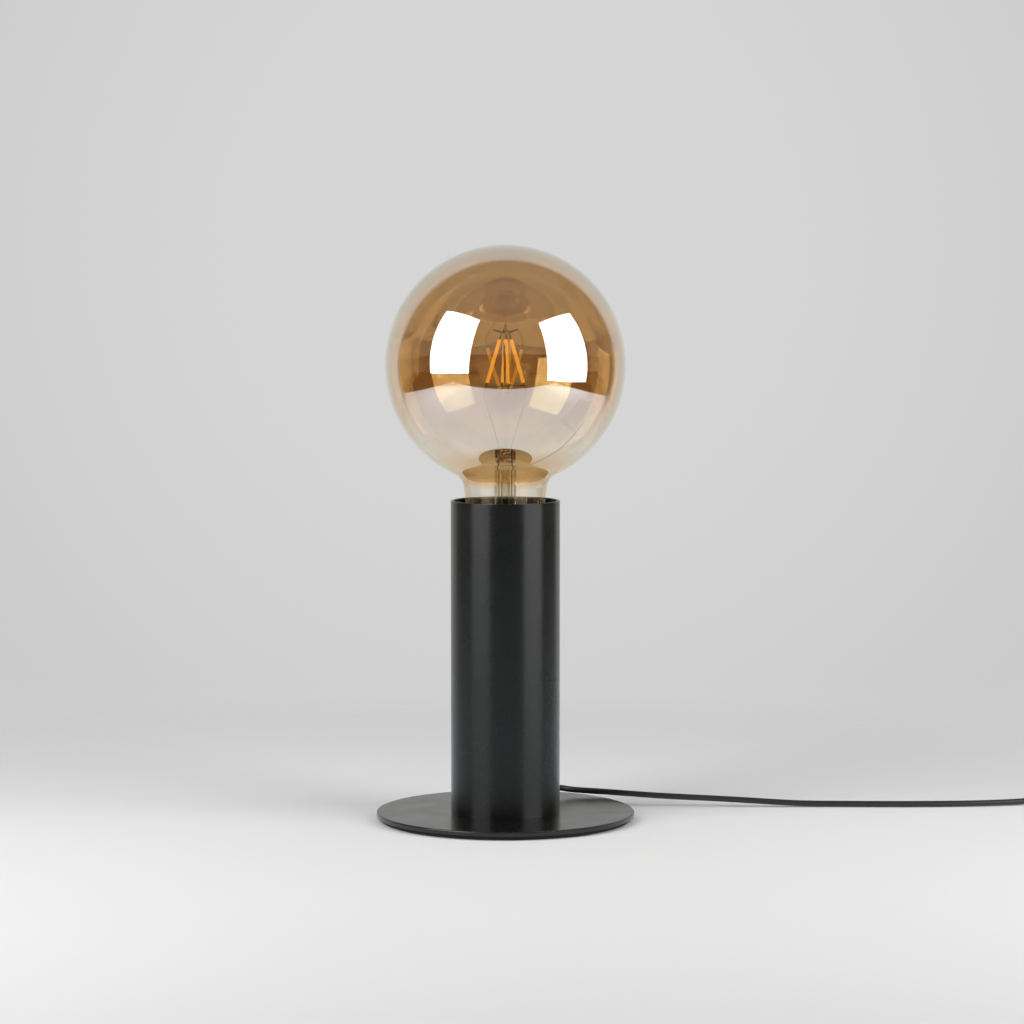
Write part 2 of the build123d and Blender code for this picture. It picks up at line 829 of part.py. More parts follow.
# Bulb stem: flared tube with the exhaust tube in it, waist, press, support rod and its button
flare_level = cap_top + flare_top
flare_rim = mouth_radius - glass_wall - slip
flare_centre = stem_radius + flare_arc
flare_turn = math.degrees(math.acos((flare_centre - flare_rim) / flare_arc))
stem_bore = stem_radius - stem_wall
crown_bottom = stem_top - stem_crown
exhaust_bottom = cap_top - exhaust_end
with BuildPart() as bulb_stem:
    with BuildSketch(Plane.XZ):
        with BuildLine() as stem_outline:
            outer = CenterArc((flare_centre, flare_level), flare_arc, 180, flare_turn)
            inner = CenterArc((flare_centre, flare_level), flare_arc + stem_wall, 180, flare_turn)
            Line(outer @ 1, inner @ 1)
            Line(outer @ 0, (stem_radius, stem_top - stem_wall))
            Line((stem_radius, stem_top - stem_wall), (stem_radius - stem_wall, stem_top))
            Line((stem_radius - stem_wall, stem_top), (0, stem_top))
            Line((0, stem_top), (0, crown_bottom))
            Line((0, crown_bottom), (exhaust_radius - exhaust_wall, crown_bottom))
            Line((exhaust_radius - exhaust_wall, crown_bottom), (exhaust_radius - exhaust_wall, exhaust_bottom))
            Line((exhaust_radius - exhaust_wall, exhaust_bottom), (exhaust_radius, exhaust_bottom))
            Line((exhaust_radius, exhaust_bottom), (exhaust_radius, crown_bottom))
            Line((exhaust_radius, crown_bottom), (stem_bore, crown_bottom))
            Line((stem_bore, crown_bottom), inner @ 0)
        make_face()
    revolve(axis=Axis.Z)
    with BuildSketch(Plane.XY.offset(stem_top)):
        RectangleRounded(waist_width, waist_depth, press_corner)
    with BuildSketch(Plane.XY.offset(press_bottom)):
        RectangleRounded(press_width, press_depth, press_corner)
    loft()
    with BuildSketch(Plane.XY.offset(press_bottom)):
        RectangleRounded(press_width, press_depth, press_corner)
    extrude(amount=press_height)
    fillet(bulb_stem.edges().group_by(Axis.Z)[-1], press_corner / 2)
    with BuildSketch(Plane.XY.offset(press_top - press_corner)):
        Circle(rod_radius)
    extrude(amount=rod_height + press_corner)
    with Locations((0, 0, button_level)):
        Sphere(button_radius)
    with BuildSketch(Plane.XY.offset(press_top + 1)):
        with Locations((-lead_place, 0), (lead_place, 0)):
            Circle(lead_radius + screw_slip)
    extrude(amount=crown_bottom - press_top - 2, mode=Mode.SUBTRACT)
bulb_stem.part.label = "bulb_stem"
export_step(bulb_stem.part, "parts/bulb_stem.step")

# Filaments: four strips that lean together, with a metal pin at each end
filament_planes = []
for number in range(filament_count):
    turn = math.radians(filament_turn + 360 * number / filament_count)
    out = Vector(math.cos(turn), math.sin(turn), 0)
    foot = out * filament_foot_radius + Vector(0, 0, press_top + filament_foot_height)
    head = out * filament_head_radius + Vector(0, 0, press_top + filament_head_height)
    lean = head - foot
    across = Vector(-math.sin(turn), math.cos(turn), 0)
    filament_planes.append((Plane(origin=foot, x_dir=across, z_dir=lean), lean.length))

with BuildPart() as led_filaments:
    for plane, length in filament_planes:
        with BuildSketch(plane):
            RectangleRounded(filament_width, filament_depth, filament_width / 2.2)
        extrude(amount=length)
led_filaments.part.label = "led_filaments"
export_step(led_filaments.part, "parts/led_filaments.step")

with BuildPart() as filament_pins:
    for plane, length in filament_planes:
        with BuildSketch(plane):
            Circle(pin_radius)
        extrude(amount=-pin_length)
        with BuildSketch(plane.offset(length)):
            Circle(pin_radius)
        extrude(amount=pin_length)
filament_pins.part.label = "filament_pins"
export_step(filament_pins.part, "parts/filament_pins.step")

# Spider: a rising arm from the button over each filament's upper pin, a level stub between each two, and
# the rod's drawn tip
arm_start = button_radius + slip
with BuildPart() as filament_spider:
    for number in range(filament_count):
        turn = math.radians(filament_turn + 360 * number / filament_count)
        half_step = math.radians(180 / filament_count)
        for heading, rise, reach in ((turn, math.radians(arm_rise), arm_reach), (turn + half_step, 0, stub_reach)):
            out = Vector(math.cos(heading), math.sin(heading), 0)
            way = out * math.cos(rise) + Vector(0, 0, math.sin(rise))
            with BuildSketch(Plane(origin=out * arm_start + Vector(0, 0, button_level), z_dir=way)):
                Circle(arm_radius)
            extrude(amount=reach - arm_start)
    with BuildSketch(Plane.XY.offset(button_level + arm_start)):
        Circle(arm_radius)
    extrude(amount=spike_length)
filament_spider.part.label = "filament_spider"
export_step(filament_spider.part, "parts/filament_spider.step")

# Lead-in wires: from the board through the press to two filaments, and bridges to their neighbours
lead_solids = []
for number, side in ((0, 1), (filament_count // 2, -1)):
    plane = filament_planes[number][0]
    pin_end = plane.origin - plane.z_dir * pin_length
    run_start = pin_end - plane.z_dir * lead_end_run
    lead, lead_length = round_lead(
        [
            (side * lead_place, 0, board_top),
            (side * lead_place, 0, press_top + lead_rise),
            tuple(run_start),
            tuple(pin_end),
        ],
        [lead_bend, lead_bend],
        lead_radius,
    )
    lead_solids.append(lead.part)
    start_plane = filament_planes[number][0]
    end_plane = filament_planes[number + 1][0]
    bridge_start = start_plane.origin - start_plane.z_dir * (pin_length / 2)
    bridge_end = end_plane.origin - end_plane.z_dir * (pin_length / 2)
    way = (bridge_end - bridge_start).normalized()
    trim = pin_radius + screw_slip
    with BuildPart() as bridge:
        with BuildSketch(Plane(origin=bridge_start + way * trim, z_dir=way)):
            Circle(arm_radius)
        extrude(amount=(bridge_end - bridge_start).length - 2 * trim)
    lead_solids.append(bridge.part)
with BuildPart() as lead_wires:
    for solid in lead_solids:
        add(solid)
lead_wires.part.label = "lead_wires"
export_step(lead_wires.part, "parts/lead_wires.step")

# Cord from the lamp to the switch: off the plate's edge, down to the table, up to the switch
first_turn = math.radians(90 - outlet_angle - lead_out_turn)
crossing_level = base_top + cord_radius + crossing_clearance
run_a = Vector(outlet_x, outlet_y, 0) * relief_end + Vector(0, 0, outlet_level)
run_b = run_a + Vector(outlet_x, outlet_y, 0) * lead_out_run
run_c = run_b + Vector(math.cos(first_turn), math.sin(first_turn), 0) * (lead_out_run + 1)
table = cord_radius
cord_route = [
    tuple(run_a),
    tuple(run_b),
    (run_c.X, run_c.Y, crossing_level + 0.9),
    (55.0, 47.0, crossing_level - 0.4),
    (84.0, 46.7, table + 4.4),
    (113.0, 46.9, table + 2.6),
    (142.0, 46.6, table + 0.7),
    (172.0, 46.1, table),
    (204.0, 45.3, table),
    (236.0, 45.6, table + 0.1),
    (264.0, 46.6, table + 0.5),
    (288.0, switch_place_y, switch_split),
    (switch_place_x, switch_place_y, switch_split),
]
cord_run, run_length = round_lead(cord_route, bend_radii(cord_route), cord_radius)
cord_run.part.label = "cord_run"
export_step(cord_run.part, "parts/cord_run.step")

# In-line switch, lower half: a shallow tray with countersunk screw holes
switch_middle = switch_place_x + switch_length / 2
screw_places = (
    (switch_middle - switch_screw_place, switch_place_y),
    (switch_middle + switch_screw_place, switch_place_y),
)
with BuildPart() as switch_base:
    with BuildSketch():
        with Locations((switch_middle, switch_place_y)):
            RectangleRounded(switch_length, switch_width, switch_corner)
    extrude(amount=switch_split)
    fillet(switch_base.edges().group_by(Axis.Z)[0], switch_edge / 2)
    with BuildSketch(Plane.XY.offset(switch_wall)):
        with Locations((switch_middle, switch_place_y)):
            RectangleRounded(
                switch_length - 2 * switch_wall, switch_width - 2 * switch_wall, switch_corner - switch_wall
            )
    extrude(amount=switch_split, mode=Mode.SUBTRACT)
    with BuildSketch():
        with Locations(*screw_places):
            Circle(switch_screw_radius + screw_slip)
    extrude(amount=switch_wall, mode=Mode.SUBTRACT)
    with BuildSketch():
        with Locations(*screw_places):
            Circle(switch_screw_head_radius + screw_slip)
    extrude(amount=switch_screw_head_height, mode=Mode.SUBTRACT)
switch_base.part.label = "switch_base"
export_step(switch_base.part, "parts/switch_base.step")

# In-line switch, upper half: cover with the rocker's window, its two bearing lugs and screw bosses
pivot_level = switch_height - pivot_depth
window_half = rocker_radius + turn_gap
window_width = rocker_width + 2 * turn_gap
cover_under = switch_height - switch_wall
with BuildPart() as switch_cover:
    with BuildSketch(Plane.XY.offset(switch_split)):
        with Locations((switch_middle, switch_place_y)):
            RectangleRounded(switch_length, switch_width, switch_corner)
    extrude(amount=switch_height - switch_split)
    fillet(switch_cover.edges().group_by(Axis.Z)[-1], switch_edge)
    with BuildSketch(Plane.XY.offset(switch_split)):
        with Locations((switch_middle, switch_place_y)):
            RectangleRounded(
                switch_length - 2 * switch_wall, switch_width - 2 * switch_wall, switch_corner - switch_wall
            )
    extrude(amount=cover_under - switch_split, mode=Mode.SUBTRACT)
    with BuildSketch(Plane.XY.offset(cover_under)):
        with Locations(*screw_places):
            Circle(switch_boss_radius)
    extrude(amount=switch_wall - cover_under)
    with BuildSketch(Plane.XY.offset(switch_wall)):
        with Locations(*screw_places):
            Circle(switch_screw_radius + screw_slip)
    extrude(amount=cover_under - switch_wall - switch_screw_end_gap / 2, mode=Mode.SUBTRACT)
    with BuildSketch(Plane.XY.offset(cover_under)):
        for side in (-1, 1):
            with Locations((switch_middle, switch_place_y + side * (window_width + lug_thickness) / 2)):
                Rectangle(lug_length, lug_thickness)
    extrude(amount=pivot_level - lug_drop - cover_under)
    with BuildSketch(Plane.XY.offset(cover_under)):
        with Locations((switch_middle, switch_place_y)):
            Rectangle(2 * window_half, window_width)
    extrude(amount=switch_wall, mode=Mode.SUBTRACT)
    with BuildSketch(Plane(origin=(switch_middle, switch_place_y, pivot_level), z_dir=(0, -1, 0))):
        Circle(axle_radius + axle_gap)
    extrude(amount=window_width / 2 + lug_thickness, both=True, mode=Mode.SUBTRACT)
switch_cover.part.label = "switch_cover"
export_step(switch_cover.part, "parts/switch_cover.step")

# Switch rocker: round ends about its axle, a shallow valley on top, resting tilted to off
tilt = math.radians(-rocker_tilt)
rocker_plane = Plane(
    origin=(switch_middle, switch_place_y, pivot_level),
    x_dir=(math.cos(tilt), 0, math.sin(tilt)),
    z_dir=(0, -1, 0),
)
with BuildPart() as switch_rocker:
    with BuildSketch(rocker_plane):
        Circle(rocker_radius)
        with BuildLine():
            Polyline(
                (-rocker_radius, -rocker_drop),
                (rocker_radius, -rocker_drop),
                (rocker_radius, rocker_horn),
                (0, rocker_crown),
                (-rocker_radius, rocker_horn),
                close=True,
            )
        make_face(mode=Mode.INTERSECT)
    extrude(amount=rocker_width / 2, both=True)
    with BuildSketch(rocker_plane):
        Circle(axle_radius)
    extrude(amount=rocker_width / 2 + axle_reach, both=True)
switch_rocker.part.label = "switch_rocker"
export_step(switch_rocker.part, "parts/switch_rocker.step")

# Contact bars on the switch's floor, either side of the rocker's middle
with BuildPart() as switch_contacts:
    with BuildSketch(Plane.XY.offset(switch_wall)):
        bar_place = (contact_bar_gap + contact_bar_length) / 2
        for side in (-1, 1):
            with Locations((switch_middle + side * bar_place, switch_place_y + side * switch_width / 4)):
                Rectangle(contact_bar_length, contact_bar_width)
    extrude(amount=contact_bar_height)
switch_contacts.part.label = "switch_contacts"
export_step(switch_contacts.part, "parts/switch_contacts.step")

# Switch screws: from below into the cover's bosses
with BuildPart() as switch_screws:
    with BuildSketch():
        with Locations(*screw_places):
            Circle(switch_screw_head_radius)
    extrude(amount=switch_screw_head_height)
    with BuildSketch():
        with Locations(*screw_places):
            Circle(switch_screw_radius)
    extrude(amount=cover_under - switch_screw_end_gap)
switch_screws.part.label = "switch_screws"
export_step(switch_screws.part, "parts/switch_screws.step")

# Coil: flat spirals in and out, a layer at a time, climbing in the half turn where they reverse
coil_pitch = cord_diameter + coil_gap
coil_outer_radius = coil_inner_radius + coil_turns * coil_pitch
coil_x = switch_place_x + switch_length + link_length
coil_y = switch_place_y - coil_outer_radius
coil_lift = tie_thickness + tie_gap
coil_base = coil_lift + cord_radius
coil_total_turns = coil_layers * coil_turns + (coil_layers - 1) / 2


def coil_point(turns):
    """Point of the coil's centre line after a number of clockwise turns from its start."""
    layer = min(int(turns / (coil_turns + 0.5)), coil_layers - 1)
    along = turns - layer * (coil_turns + 0.5)
    spiral = min(along, coil_turns) / coil_turns
    inwards = spiral if layer % 2 == 0 else 1 - spiral
    radius = coil_outer_radius - inwards * (coil_outer_radius - coil_inner_radius)
    climb = max(along - coil_turns, 0) / 0.5
    level = coil_base + (layer + (1 - math.cos(math.pi * climb)) / 2) * coil_pitch
    angle = math.pi / 2 - 2 * math.pi * turns
    return Vector(coil_x + radius * math.cos(angle), coil_y + radius * math.sin(angle), level)


def coil_way(turns):
    """Direction of the coil's centre line, straight along X at both ends."""
    if turns <= 0 or turns >= coil_total_turns:
        return Vector(1, 0, 0)
    return (coil_point(turns + 0.02) - coil_point(turns - 0.02)).normalized()


def add_biarc(start, start_way, end, end_way):
    """Two tangent arcs from one point and direction to the next."""
    chord = end - start
    ways = start_way + end_way
    spread = 1 - start_way.dot(end_way)
    along = chord.dot(ways)
    reach = (math.sqrt(along * along + 2 * spread * chord.dot(chord)) - along) / (2 * spread)
    handle_start = start + start_way * reach
    handle_end = end - end_way * reach
    middle = (handle_start + handle_end) * 0.5
    TangentArc(start, middle, tangent=start_way)
    TangentArc(middle, end, tangent=handle_end - handle_start)


coil_steps = [number * 0.25 for number in range(round(coil_total_turns / 0.25) + 1)]
coil_start = coil_point(0)
coil_end = coil_point(coil_total_turns)
along_x = Vector(1, 0, 0)
with BuildPart() as cord_coil:
    with BuildLine() as coil_path:
        Line(coil_start - along_x * cord_diameter, coil_start)
        for first, second in zip(coil_steps, coil_steps[1:]):
            add_biarc(coil_point(first), coil_way(first), coil_point(second), coil_way(second))
        Line(coil_end, coil_end + along_x * cord_diameter)
    coil_wire = coil_path.wire()
    with BuildSketch(Plane(origin=coil_wire @ 0, z_dir=coil_wire % 0)):
        Circle(cord_radius)
    sweep()
cord_coil.part.label = "cord_coil"
export_step(cord_coil.part, "parts/cord_coil.step")

coil_length = coil_wire.length
coil_samples = [coil_wire @ (number / 900) for number in range(901)]
sample_step = coil_length / 900
near_steps = int(math.pi * coil_inner_radius / sample_step)
least_gap = min(
    (coil_samples[first] - coil_samples[second]).length
    for first in range(0, 901)
    for second in range(first + near_steps, 901)
) - cord_diameter
coil_volume = math.pi * cord_radius ** 2 * coil_length
print(f"coil: length {coil_length:.1f}, least gap {least_gap:.2f}, volume {cord_coil.part.volume / coil_volume:.3f}")

# Cord from the switch to the coil
link_start = switch_place_x + switch_length
link_end = coil_x - cord_diameter
link_third = (link_end - link_start) / 3
link_route = [
    (link_start, switch_place_y, switch_split),
    (link_start + link_third, switch_place_y, switch_split),
    (link_start + 2 * link_third, switch_place_y, coil_base),
    (link_end, switch_place_y, coil_base),
]
cord_link, link_cord_length = round_lead(link_route, bend_radii(link_route), cord_radius)
cord_link.part.label = "cord_link"
export_step(cord_link.part, "parts/cord_link.step")

# Tie round the coil's bundle
tie_low = coil_lift - tie_gap
tie_high = coil_base + (coil_layers - 1) * coil_pitch + cord_radius + tie_gap
tie_near = coil_inner_radius - cord_radius - tie_gap
tie_far = coil_outer_radius + cord_radius + tie_gap
tie_centre = (coil_x - (tie_near + tie_far) / 2, (tie_low + tie_high) / 2)
with BuildPart() as coil_tie:
    with BuildSketch(Plane(origin=(0, coil_y, 0), x_dir=(1, 0, 0), z_dir=(0, -1, 0))):
        with Locations(tie_centre):
            RectangleRounded(
                tie_far - tie_near + 2 * tie_thickness, tie_high - tie_low + 2 * tie_thickness, 2 * tie_thickness
            )
            RectangleRounded(tie_far - tie_near, tie_high - tie_low, tie_thickness, mode=Mode.SUBTRACT)
    extrude(amount=tie_width / 2, both=True)
coil_tie.part.label = "coil_tie"
export_step(coil_tie.part, "parts/coil_tie.step")

# Cord from the coil round to the plug
plug_level = plug_thickness / 2
tail_start = coil_end + along_x * cord_diameter
tail_route = [tuple(tail_start)]
tail_place = tail_start + along_x * tail_run
tail_levels = (tail_start.Z, (tail_start.Z + plug_level) / 2, plug_level, plug_level)
tail_runs = (tail_run * 1.2, tail_run * 1.2, tail_run)
for number, level in enumerate(tail_levels):
    tail_route.append((tail_place.X, tail_place.Y, level))
    if number < len(tail_runs):
        heading = math.radians(-tail_turn * (number + 1))
        tail_place = tail_place + Vector(math.cos(heading), math.sin(heading), 0) * tail_runs[number]
cord_tail, tail_length = round_lead(tail_route, bend_radii(tail_route), cord_radius)
cord_tail.part.label = "cord_tail"
export_step(cord_tail.part, "parts/cord_tail.step")

# Plug body: a flat moulding with a tapered nose for the cord and sleeves flush with the pins
plug_x = tail_place.X
plug_y = tail_place.Y
body_start = plug_y - plug_nose
body_end = body_start - plug_body
pin_places = ((-pin_spacing / 2, 0), (pin_spacing / 2, 0))
face_plane = Plane(origin=(plug_x, body_end, plug_level), x_dir=(1, 0, 0), z_dir=(0, -1, 0))
with BuildPart() as plug_body_part:
    with BuildSketch(Plane.XY):
        with BuildLine():
            Polyline(
                (plug_x - plug_nose_radius, body_start),
                (plug_x + plug_nose_radius, body_start),
                (plug_x + plug_width / 2, body_start - plug_shoulder),
                (plug_x + plug_width / 2, body_end),
                (plug_x - plug_width / 2, body_end),
                (plug_x - plug_width / 2, body_start - plug_shoulder),
                close=True,
            )
        make_face()
    extrude(amount=plug_thickness)
    fillet(plug_body_part.edges().filter_by(Axis.Z), plug_edge)
    fillet(plug_body_part.edges().group_by(Axis.Z)[-1] + plug_body_part.edges().group_by(Axis.Z)[0], plug_edge)
    with BuildSketch(Plane(origin=(plug_x, body_start - 1, plug_level), x_dir=(1, 0, 0), z_dir=(0, 1, 0))):
        Circle(plug_nose_radius)
    with BuildSketch(Plane(origin=(plug_x, plug_y, plug_level), x_dir=(1, 0, 0), z_dir=(0, 1, 0))):
        Circle(plug_nose_tip)
    loft()
    with BuildSketch(face_plane):
        with Locations(*pin_places):
            Circle(plug_pin_radius)
    extrude(amount=plug_pin_sleeve)
    with BuildSketch(face_plane.offset(plug_pin_sleeve)):
        with Locations(*pin_places):
            Circle(plug_pin_shank + screw_slip)
    extrude(amount=-plug_pin_sleeve - plug_pin_root, mode=Mode.SUBTRACT)
plug_body_part.part.label = "plug_body"
export_step(plug_body_part.part, "parts/plug_body.step")

# Plug pins: thin shanks in the moulding, full-size round ends with an eased edge
with BuildPart() as plug_pins:
    with BuildSketch(face_plane.offset(plug_pin_sleeve)):
        with Locations(*pin_places):
            Circle(plug_pin_radius)
    extrude(amount=plug_pin_length - plug_pin_sleeve)
    fillet(plug_pins.edges().group_by(Axis.Y)[0], plug_pin_edge)
    with BuildSketch(face_plane.offset(plug_pin_sleeve)):
        with Locations(*pin_places):
            Circle(plug_pin_shank)
    extrude(amount=-plug_pin_sleeve - plug_pin_root)
plug_pins.part.label = "plug_pins"
export_step(plug_pins.part, "parts/plug_pins.step")

outside_length = run_length + switch_length + link_cord_length + coil_length + tail_length
print(f"cord outside the lamp: {outside_length:.0f} mm, of which seen about {run_length - 30:.0f} mm")
print(f"levels: rim {rim_level:.1f}, contact {contact_level:.1f}, cap top {cap_top:.1f}, globe {globe_level:.1f}")
print(f"bulb top {globe_level + globe_radius:.1f}, press top {press_top:.1f}, relief end {relief_end:.1f}")
print(f"coil centre {coil_x:.1f} {coil_y:.1f}, outer radius {coil_outer_radius:.2f}")
print(f"plug at {plug_x:.2f} {plug_y:.2f}, face {body_end:.2f}, pivot level {pivot_level:.2f}")
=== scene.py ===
# %% [markdown]
# # A bedside lamp with an amber globe bulb
# The rigid pieces come from the imported model, in metres and in their places, so nothing is fitted by eye.
# This lesson adds what the model leaves open: the free cord, the finish of every surface and the studio.

# %% Load the imported model
import json
import math

import bmesh
import bpy
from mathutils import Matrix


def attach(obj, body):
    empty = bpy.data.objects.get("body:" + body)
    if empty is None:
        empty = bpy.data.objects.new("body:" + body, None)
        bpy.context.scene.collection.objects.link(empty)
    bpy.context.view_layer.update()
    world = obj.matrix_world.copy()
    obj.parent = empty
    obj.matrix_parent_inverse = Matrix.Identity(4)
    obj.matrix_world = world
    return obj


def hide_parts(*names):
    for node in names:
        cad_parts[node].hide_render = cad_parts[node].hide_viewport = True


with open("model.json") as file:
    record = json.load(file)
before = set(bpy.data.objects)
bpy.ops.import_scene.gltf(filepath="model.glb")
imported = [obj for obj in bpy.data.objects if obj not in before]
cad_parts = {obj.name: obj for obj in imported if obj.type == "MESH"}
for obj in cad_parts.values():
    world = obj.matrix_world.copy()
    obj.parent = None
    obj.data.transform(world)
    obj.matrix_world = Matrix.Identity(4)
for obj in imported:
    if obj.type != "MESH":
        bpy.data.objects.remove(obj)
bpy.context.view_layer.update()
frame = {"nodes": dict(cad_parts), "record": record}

print("pieces in the packed model:", len(frame["nodes"]))

# %% [markdown]
# ## The camera
# The photograph was taken from a little above the rim of the tube, with a long lens, looking slightly down.
# The distance, height and tilt below put the globe, the rim and the plate where the photograph has them.
# A tilted camera without lens shift is used, because the tube narrows a trifle towards the floor there.

# %% Camera
camera_side = 0.00346
camera_away = 1.789
camera_height = 0.3039
camera_tilt = 4.559
camera_lens = 121.14
sensor_width = 36.0

camera_data = bpy.data.cameras.new("camera")
camera_data.sensor_width = sensor_width
camera_data.lens = camera_lens
camera = bpy.data.objects.new("camera", camera_data)
camera.location = (camera_side, -camera_away, camera_height)
camera.rotation_euler = (math.radians(90 - camera_tilt), 0, 0)
bpy.context.scene.collection.objects.link(camera)
bpy.context.scene.camera = camera
print("camera", camera_away, "m from the lamp")

# %% [markdown]
# ## The cord
# A round black lead leaves the tube at the back, clears the plate, sinks to the table and runs to a small
# in-line switch. From there it goes to a coil of the spare length and on to the plug. One NURBS spline makes
# each lead: its control points pull the line without lying on it, so it bends as smoothly as a real lead.
# Order 3 and the end points are set after the points are in, or the spline would stay a row of straight runs.

# %% A lead along a spline
cord_diameter = 0.0032
cord_black = bpy.data.materials.new("cord_black")
spline_order = 3
lead_steps = 8
lead_roundness = 5


def lay_lead(name, points):
    """Round lead whose centre line is a NURBS spline with these control points."""
    curve = bpy.data.curves.new(name, "CURVE")
    curve.dimensions = "3D"
    curve.bevel_depth = cord_diameter / 2
    curve.bevel_resolution = lead_roundness
    curve.use_fill_caps = True
    curve.materials.append(cord_black)
    line = curve.splines.new("NURBS")
    line.points.add(len(points) - 1)
    for spot, (x, y, z) in zip(line.points, points):
        spot.co = (x, y, z, 1)
    line.order_u = spline_order
    line.use_endpoint_u = True
    line.resolution_u = lead_steps
    lead = bpy.data.objects.new(name, curve)
    bpy.context.scene.collection.objects.link(lead)
    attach(lead, "lamp")
    return lead


print("leads are", cord_diameter, "m thick")

# %% Lead from the lamp to the switch
lamp_lead_points = [
    (0.023338, 0.035937, 0.0110),
    (0.02824, 0.043485, 0.0096),
    (0.0360, 0.0466, 0.0077),
    (0.0500, 0.0450, 0.00715),
    (0.0630, 0.0424, 0.0066),
    (0.0840, 0.0400, 0.0054),
    (0.1130, 0.0386, 0.0043),
    (0.1400, 0.0380, 0.00275),
    (0.1580, 0.0379, 0.0017),
    (0.1850, 0.0374, 0.0016),
    (0.2150, 0.0368, 0.0016),
    (0.2430, 0.0380, 0.0016),
    (0.2620, 0.0405, 0.0016),
    (0.2840, 0.0454, 0.0019),
    (0.2960, 0.0470, 0.0050),
    (0.3060, 0.0470, 0.0050),
]
lamp_lead = lay_lead("lamp_lead", lamp_lead_points)
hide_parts("cord_run")
switch_pieces = ["switch_base", "switch_cover", "switch_rocker", "switch_contacts", "switch_screws"]
print("lamp lead:", len(lamp_lead_points), "control points")

# %% [markdown]
# ## The spare length
# The photograph shows about a quarter of a metre of cord. The rest is wound as for storage: four flat spirals
# lie on each other, one winding inwards and the next outwards, with half a turn to climb between them.
# A formula gives the control points. They lie just outside the turns, so that the spline touches the true
# radius in the middle of each step.

# %% Control points of the coil
coil_centre = (0.3940, 0.022775)
coil_outer = 0.024225
coil_inner = 0.0132
coil_level = 0.0028
coil_pitch = 0.0042
coil_layers = 4
layer_turns = 2.625
climb_turns = 0.5
steps_per_turn = 16
coil_turns = coil_layers * layer_turns + (coil_layers - 1) * climb_turns
coil_steps = round(coil_turns * steps_per_turn)


def coil_point(turns):
    """Control point of the coil after a number of clockwise turns from its start."""
    layer = min(int(turns / (layer_turns + climb_turns)), coil_layers - 1)
    along = turns - layer * (layer_turns + climb_turns)
    spiral = min(along, layer_turns) / layer_turns
    inwards = spiral if layer % 2 == 0 else 1 - spiral
    radius = coil_outer - inwards * (coil_outer - coil_inner)
    climb = max(along - layer_turns, 0) / climb_turns
    level = coil_level + (layer + (1 - math.cos(math.pi * climb)) / 2) * coil_pitch
    angle = math.pi / 2 - 2 * math.pi * turns
    reach = radius / math.cos(math.pi / steps_per_turn)
    return (coil_centre[0] + reach * math.cos(angle), coil_centre[1] + reach * math.sin(angle), level)


coil_points = [coil_point((step + 0.5) / steps_per_turn) for step in range(coil_steps)]
print("coil:", coil_turns, "turns,", len(coil_points), "control points")

# %% [markdown]
# ## The strap
# A hook-and-loop strap holds the coil. A rigid ring would stand off the turns, because they don't all reach
# equally far. The strap is a sheet that goes round the outermost turns: a few corner points, rounded with a
# bevel and pulled out to the strap's width. A second, short sheet on top is the overlapping end. The Solidify
# modifier gives both their thickness.

# %% Edge of the strap
strap_black = bpy.data.materials.new("strap_black")
strap_width = 0.006
strap_thickness = 0.0007
strap_round = 0.0017
round_steps = 5
strap_loop = [
    (0.01097, 0.00166),
    (0.01670, 0.00070),
    (0.02213, 0.00070),
    (0.02645, 0.00645),
    (0.02503, 0.01750),
    (0.01313, 0.01750),
    (0.01165, 0.01160),
]
strap_end = [
    (0.01600, 0.01823),
    (0.02545, 0.01823),
    (0.02690, 0.00800),
]


def strap_corners(mesh, outline):
    """Points of a strap's edge, given by their distance from the coil's centre and their height."""
    side = coil_centre[1] - strap_width / 2
    return [mesh.verts.new((coil_centre[0] - reach, side, height)) for reach, height in outline]


def round_corners(mesh, corners):
    """Round the corners of a strap's edge."""
    bmesh.ops.bevel(mesh, geom=corners, offset=strap_round, affect="VERTICES", segments=round_steps,
                    profile=0.5, material=-1)


def pull_sheet(mesh, edges):
    """Pull edges out to the strap's width."""
    pulled = bmesh.ops.extrude_edge_only(mesh, edges=edges)["geom"]
    points = [item for item in pulled if isinstance(item, bmesh.types.BMVert)]
    bmesh.ops.translate(mesh, verts=points, vec=(0, strap_width, 0))


print("strap edge:", len(strap_loop), "corners, and", len(strap_end), "for the overlapping end")

# %% Strap round the coil
strap_mesh = bpy.data.meshes.new("coil_strap")
strap = bmesh.new()
loop_corners = strap_corners(strap, strap_loop)
strap.faces.new(loop_corners)
round_corners(strap, loop_corners)
loop_faces = strap.faces[:]
pull_sheet(strap, strap.edges[:])
bmesh.ops.delete(strap, geom=loop_faces, context="FACES_ONLY")
start, corner, end = strap_corners(strap, strap_end)
strap.edges.new((start, corner))
strap.edges.new((corner, end))
round_corners(strap, [corner])
pull_sheet(strap, [edge for edge in strap.edges if edge.is_wire])
bmesh.ops.recalc_face_normals(strap, faces=strap.faces)
strap.to_mesh(strap_mesh)
strap.free()
strap_mesh.materials.append(strap_black)
coil_strap = bpy.data.objects.new("coil_strap", strap_mesh)
bpy.context.scene.collection.objects.link(coil_strap)
for polygon in strap_mesh.polygons:
    polygon.use_smooth = True
wall = coil_strap.modifiers.new("wall", "SOLIDIFY")
wall.thickness = strap_thickness
wall.offset = 0.0
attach(coil_strap, "lamp")
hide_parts("coil_tie")
print("strap:", len(strap_mesh.polygons), "faces")

# %% [markdown]
# ## From the switch to the plug
# The second lead is one piece on the real lamp, so it is one spline here too: it leaves the switch, winds
# through the coil and ends in the plug. Three lists of control points are simply put behind each other.

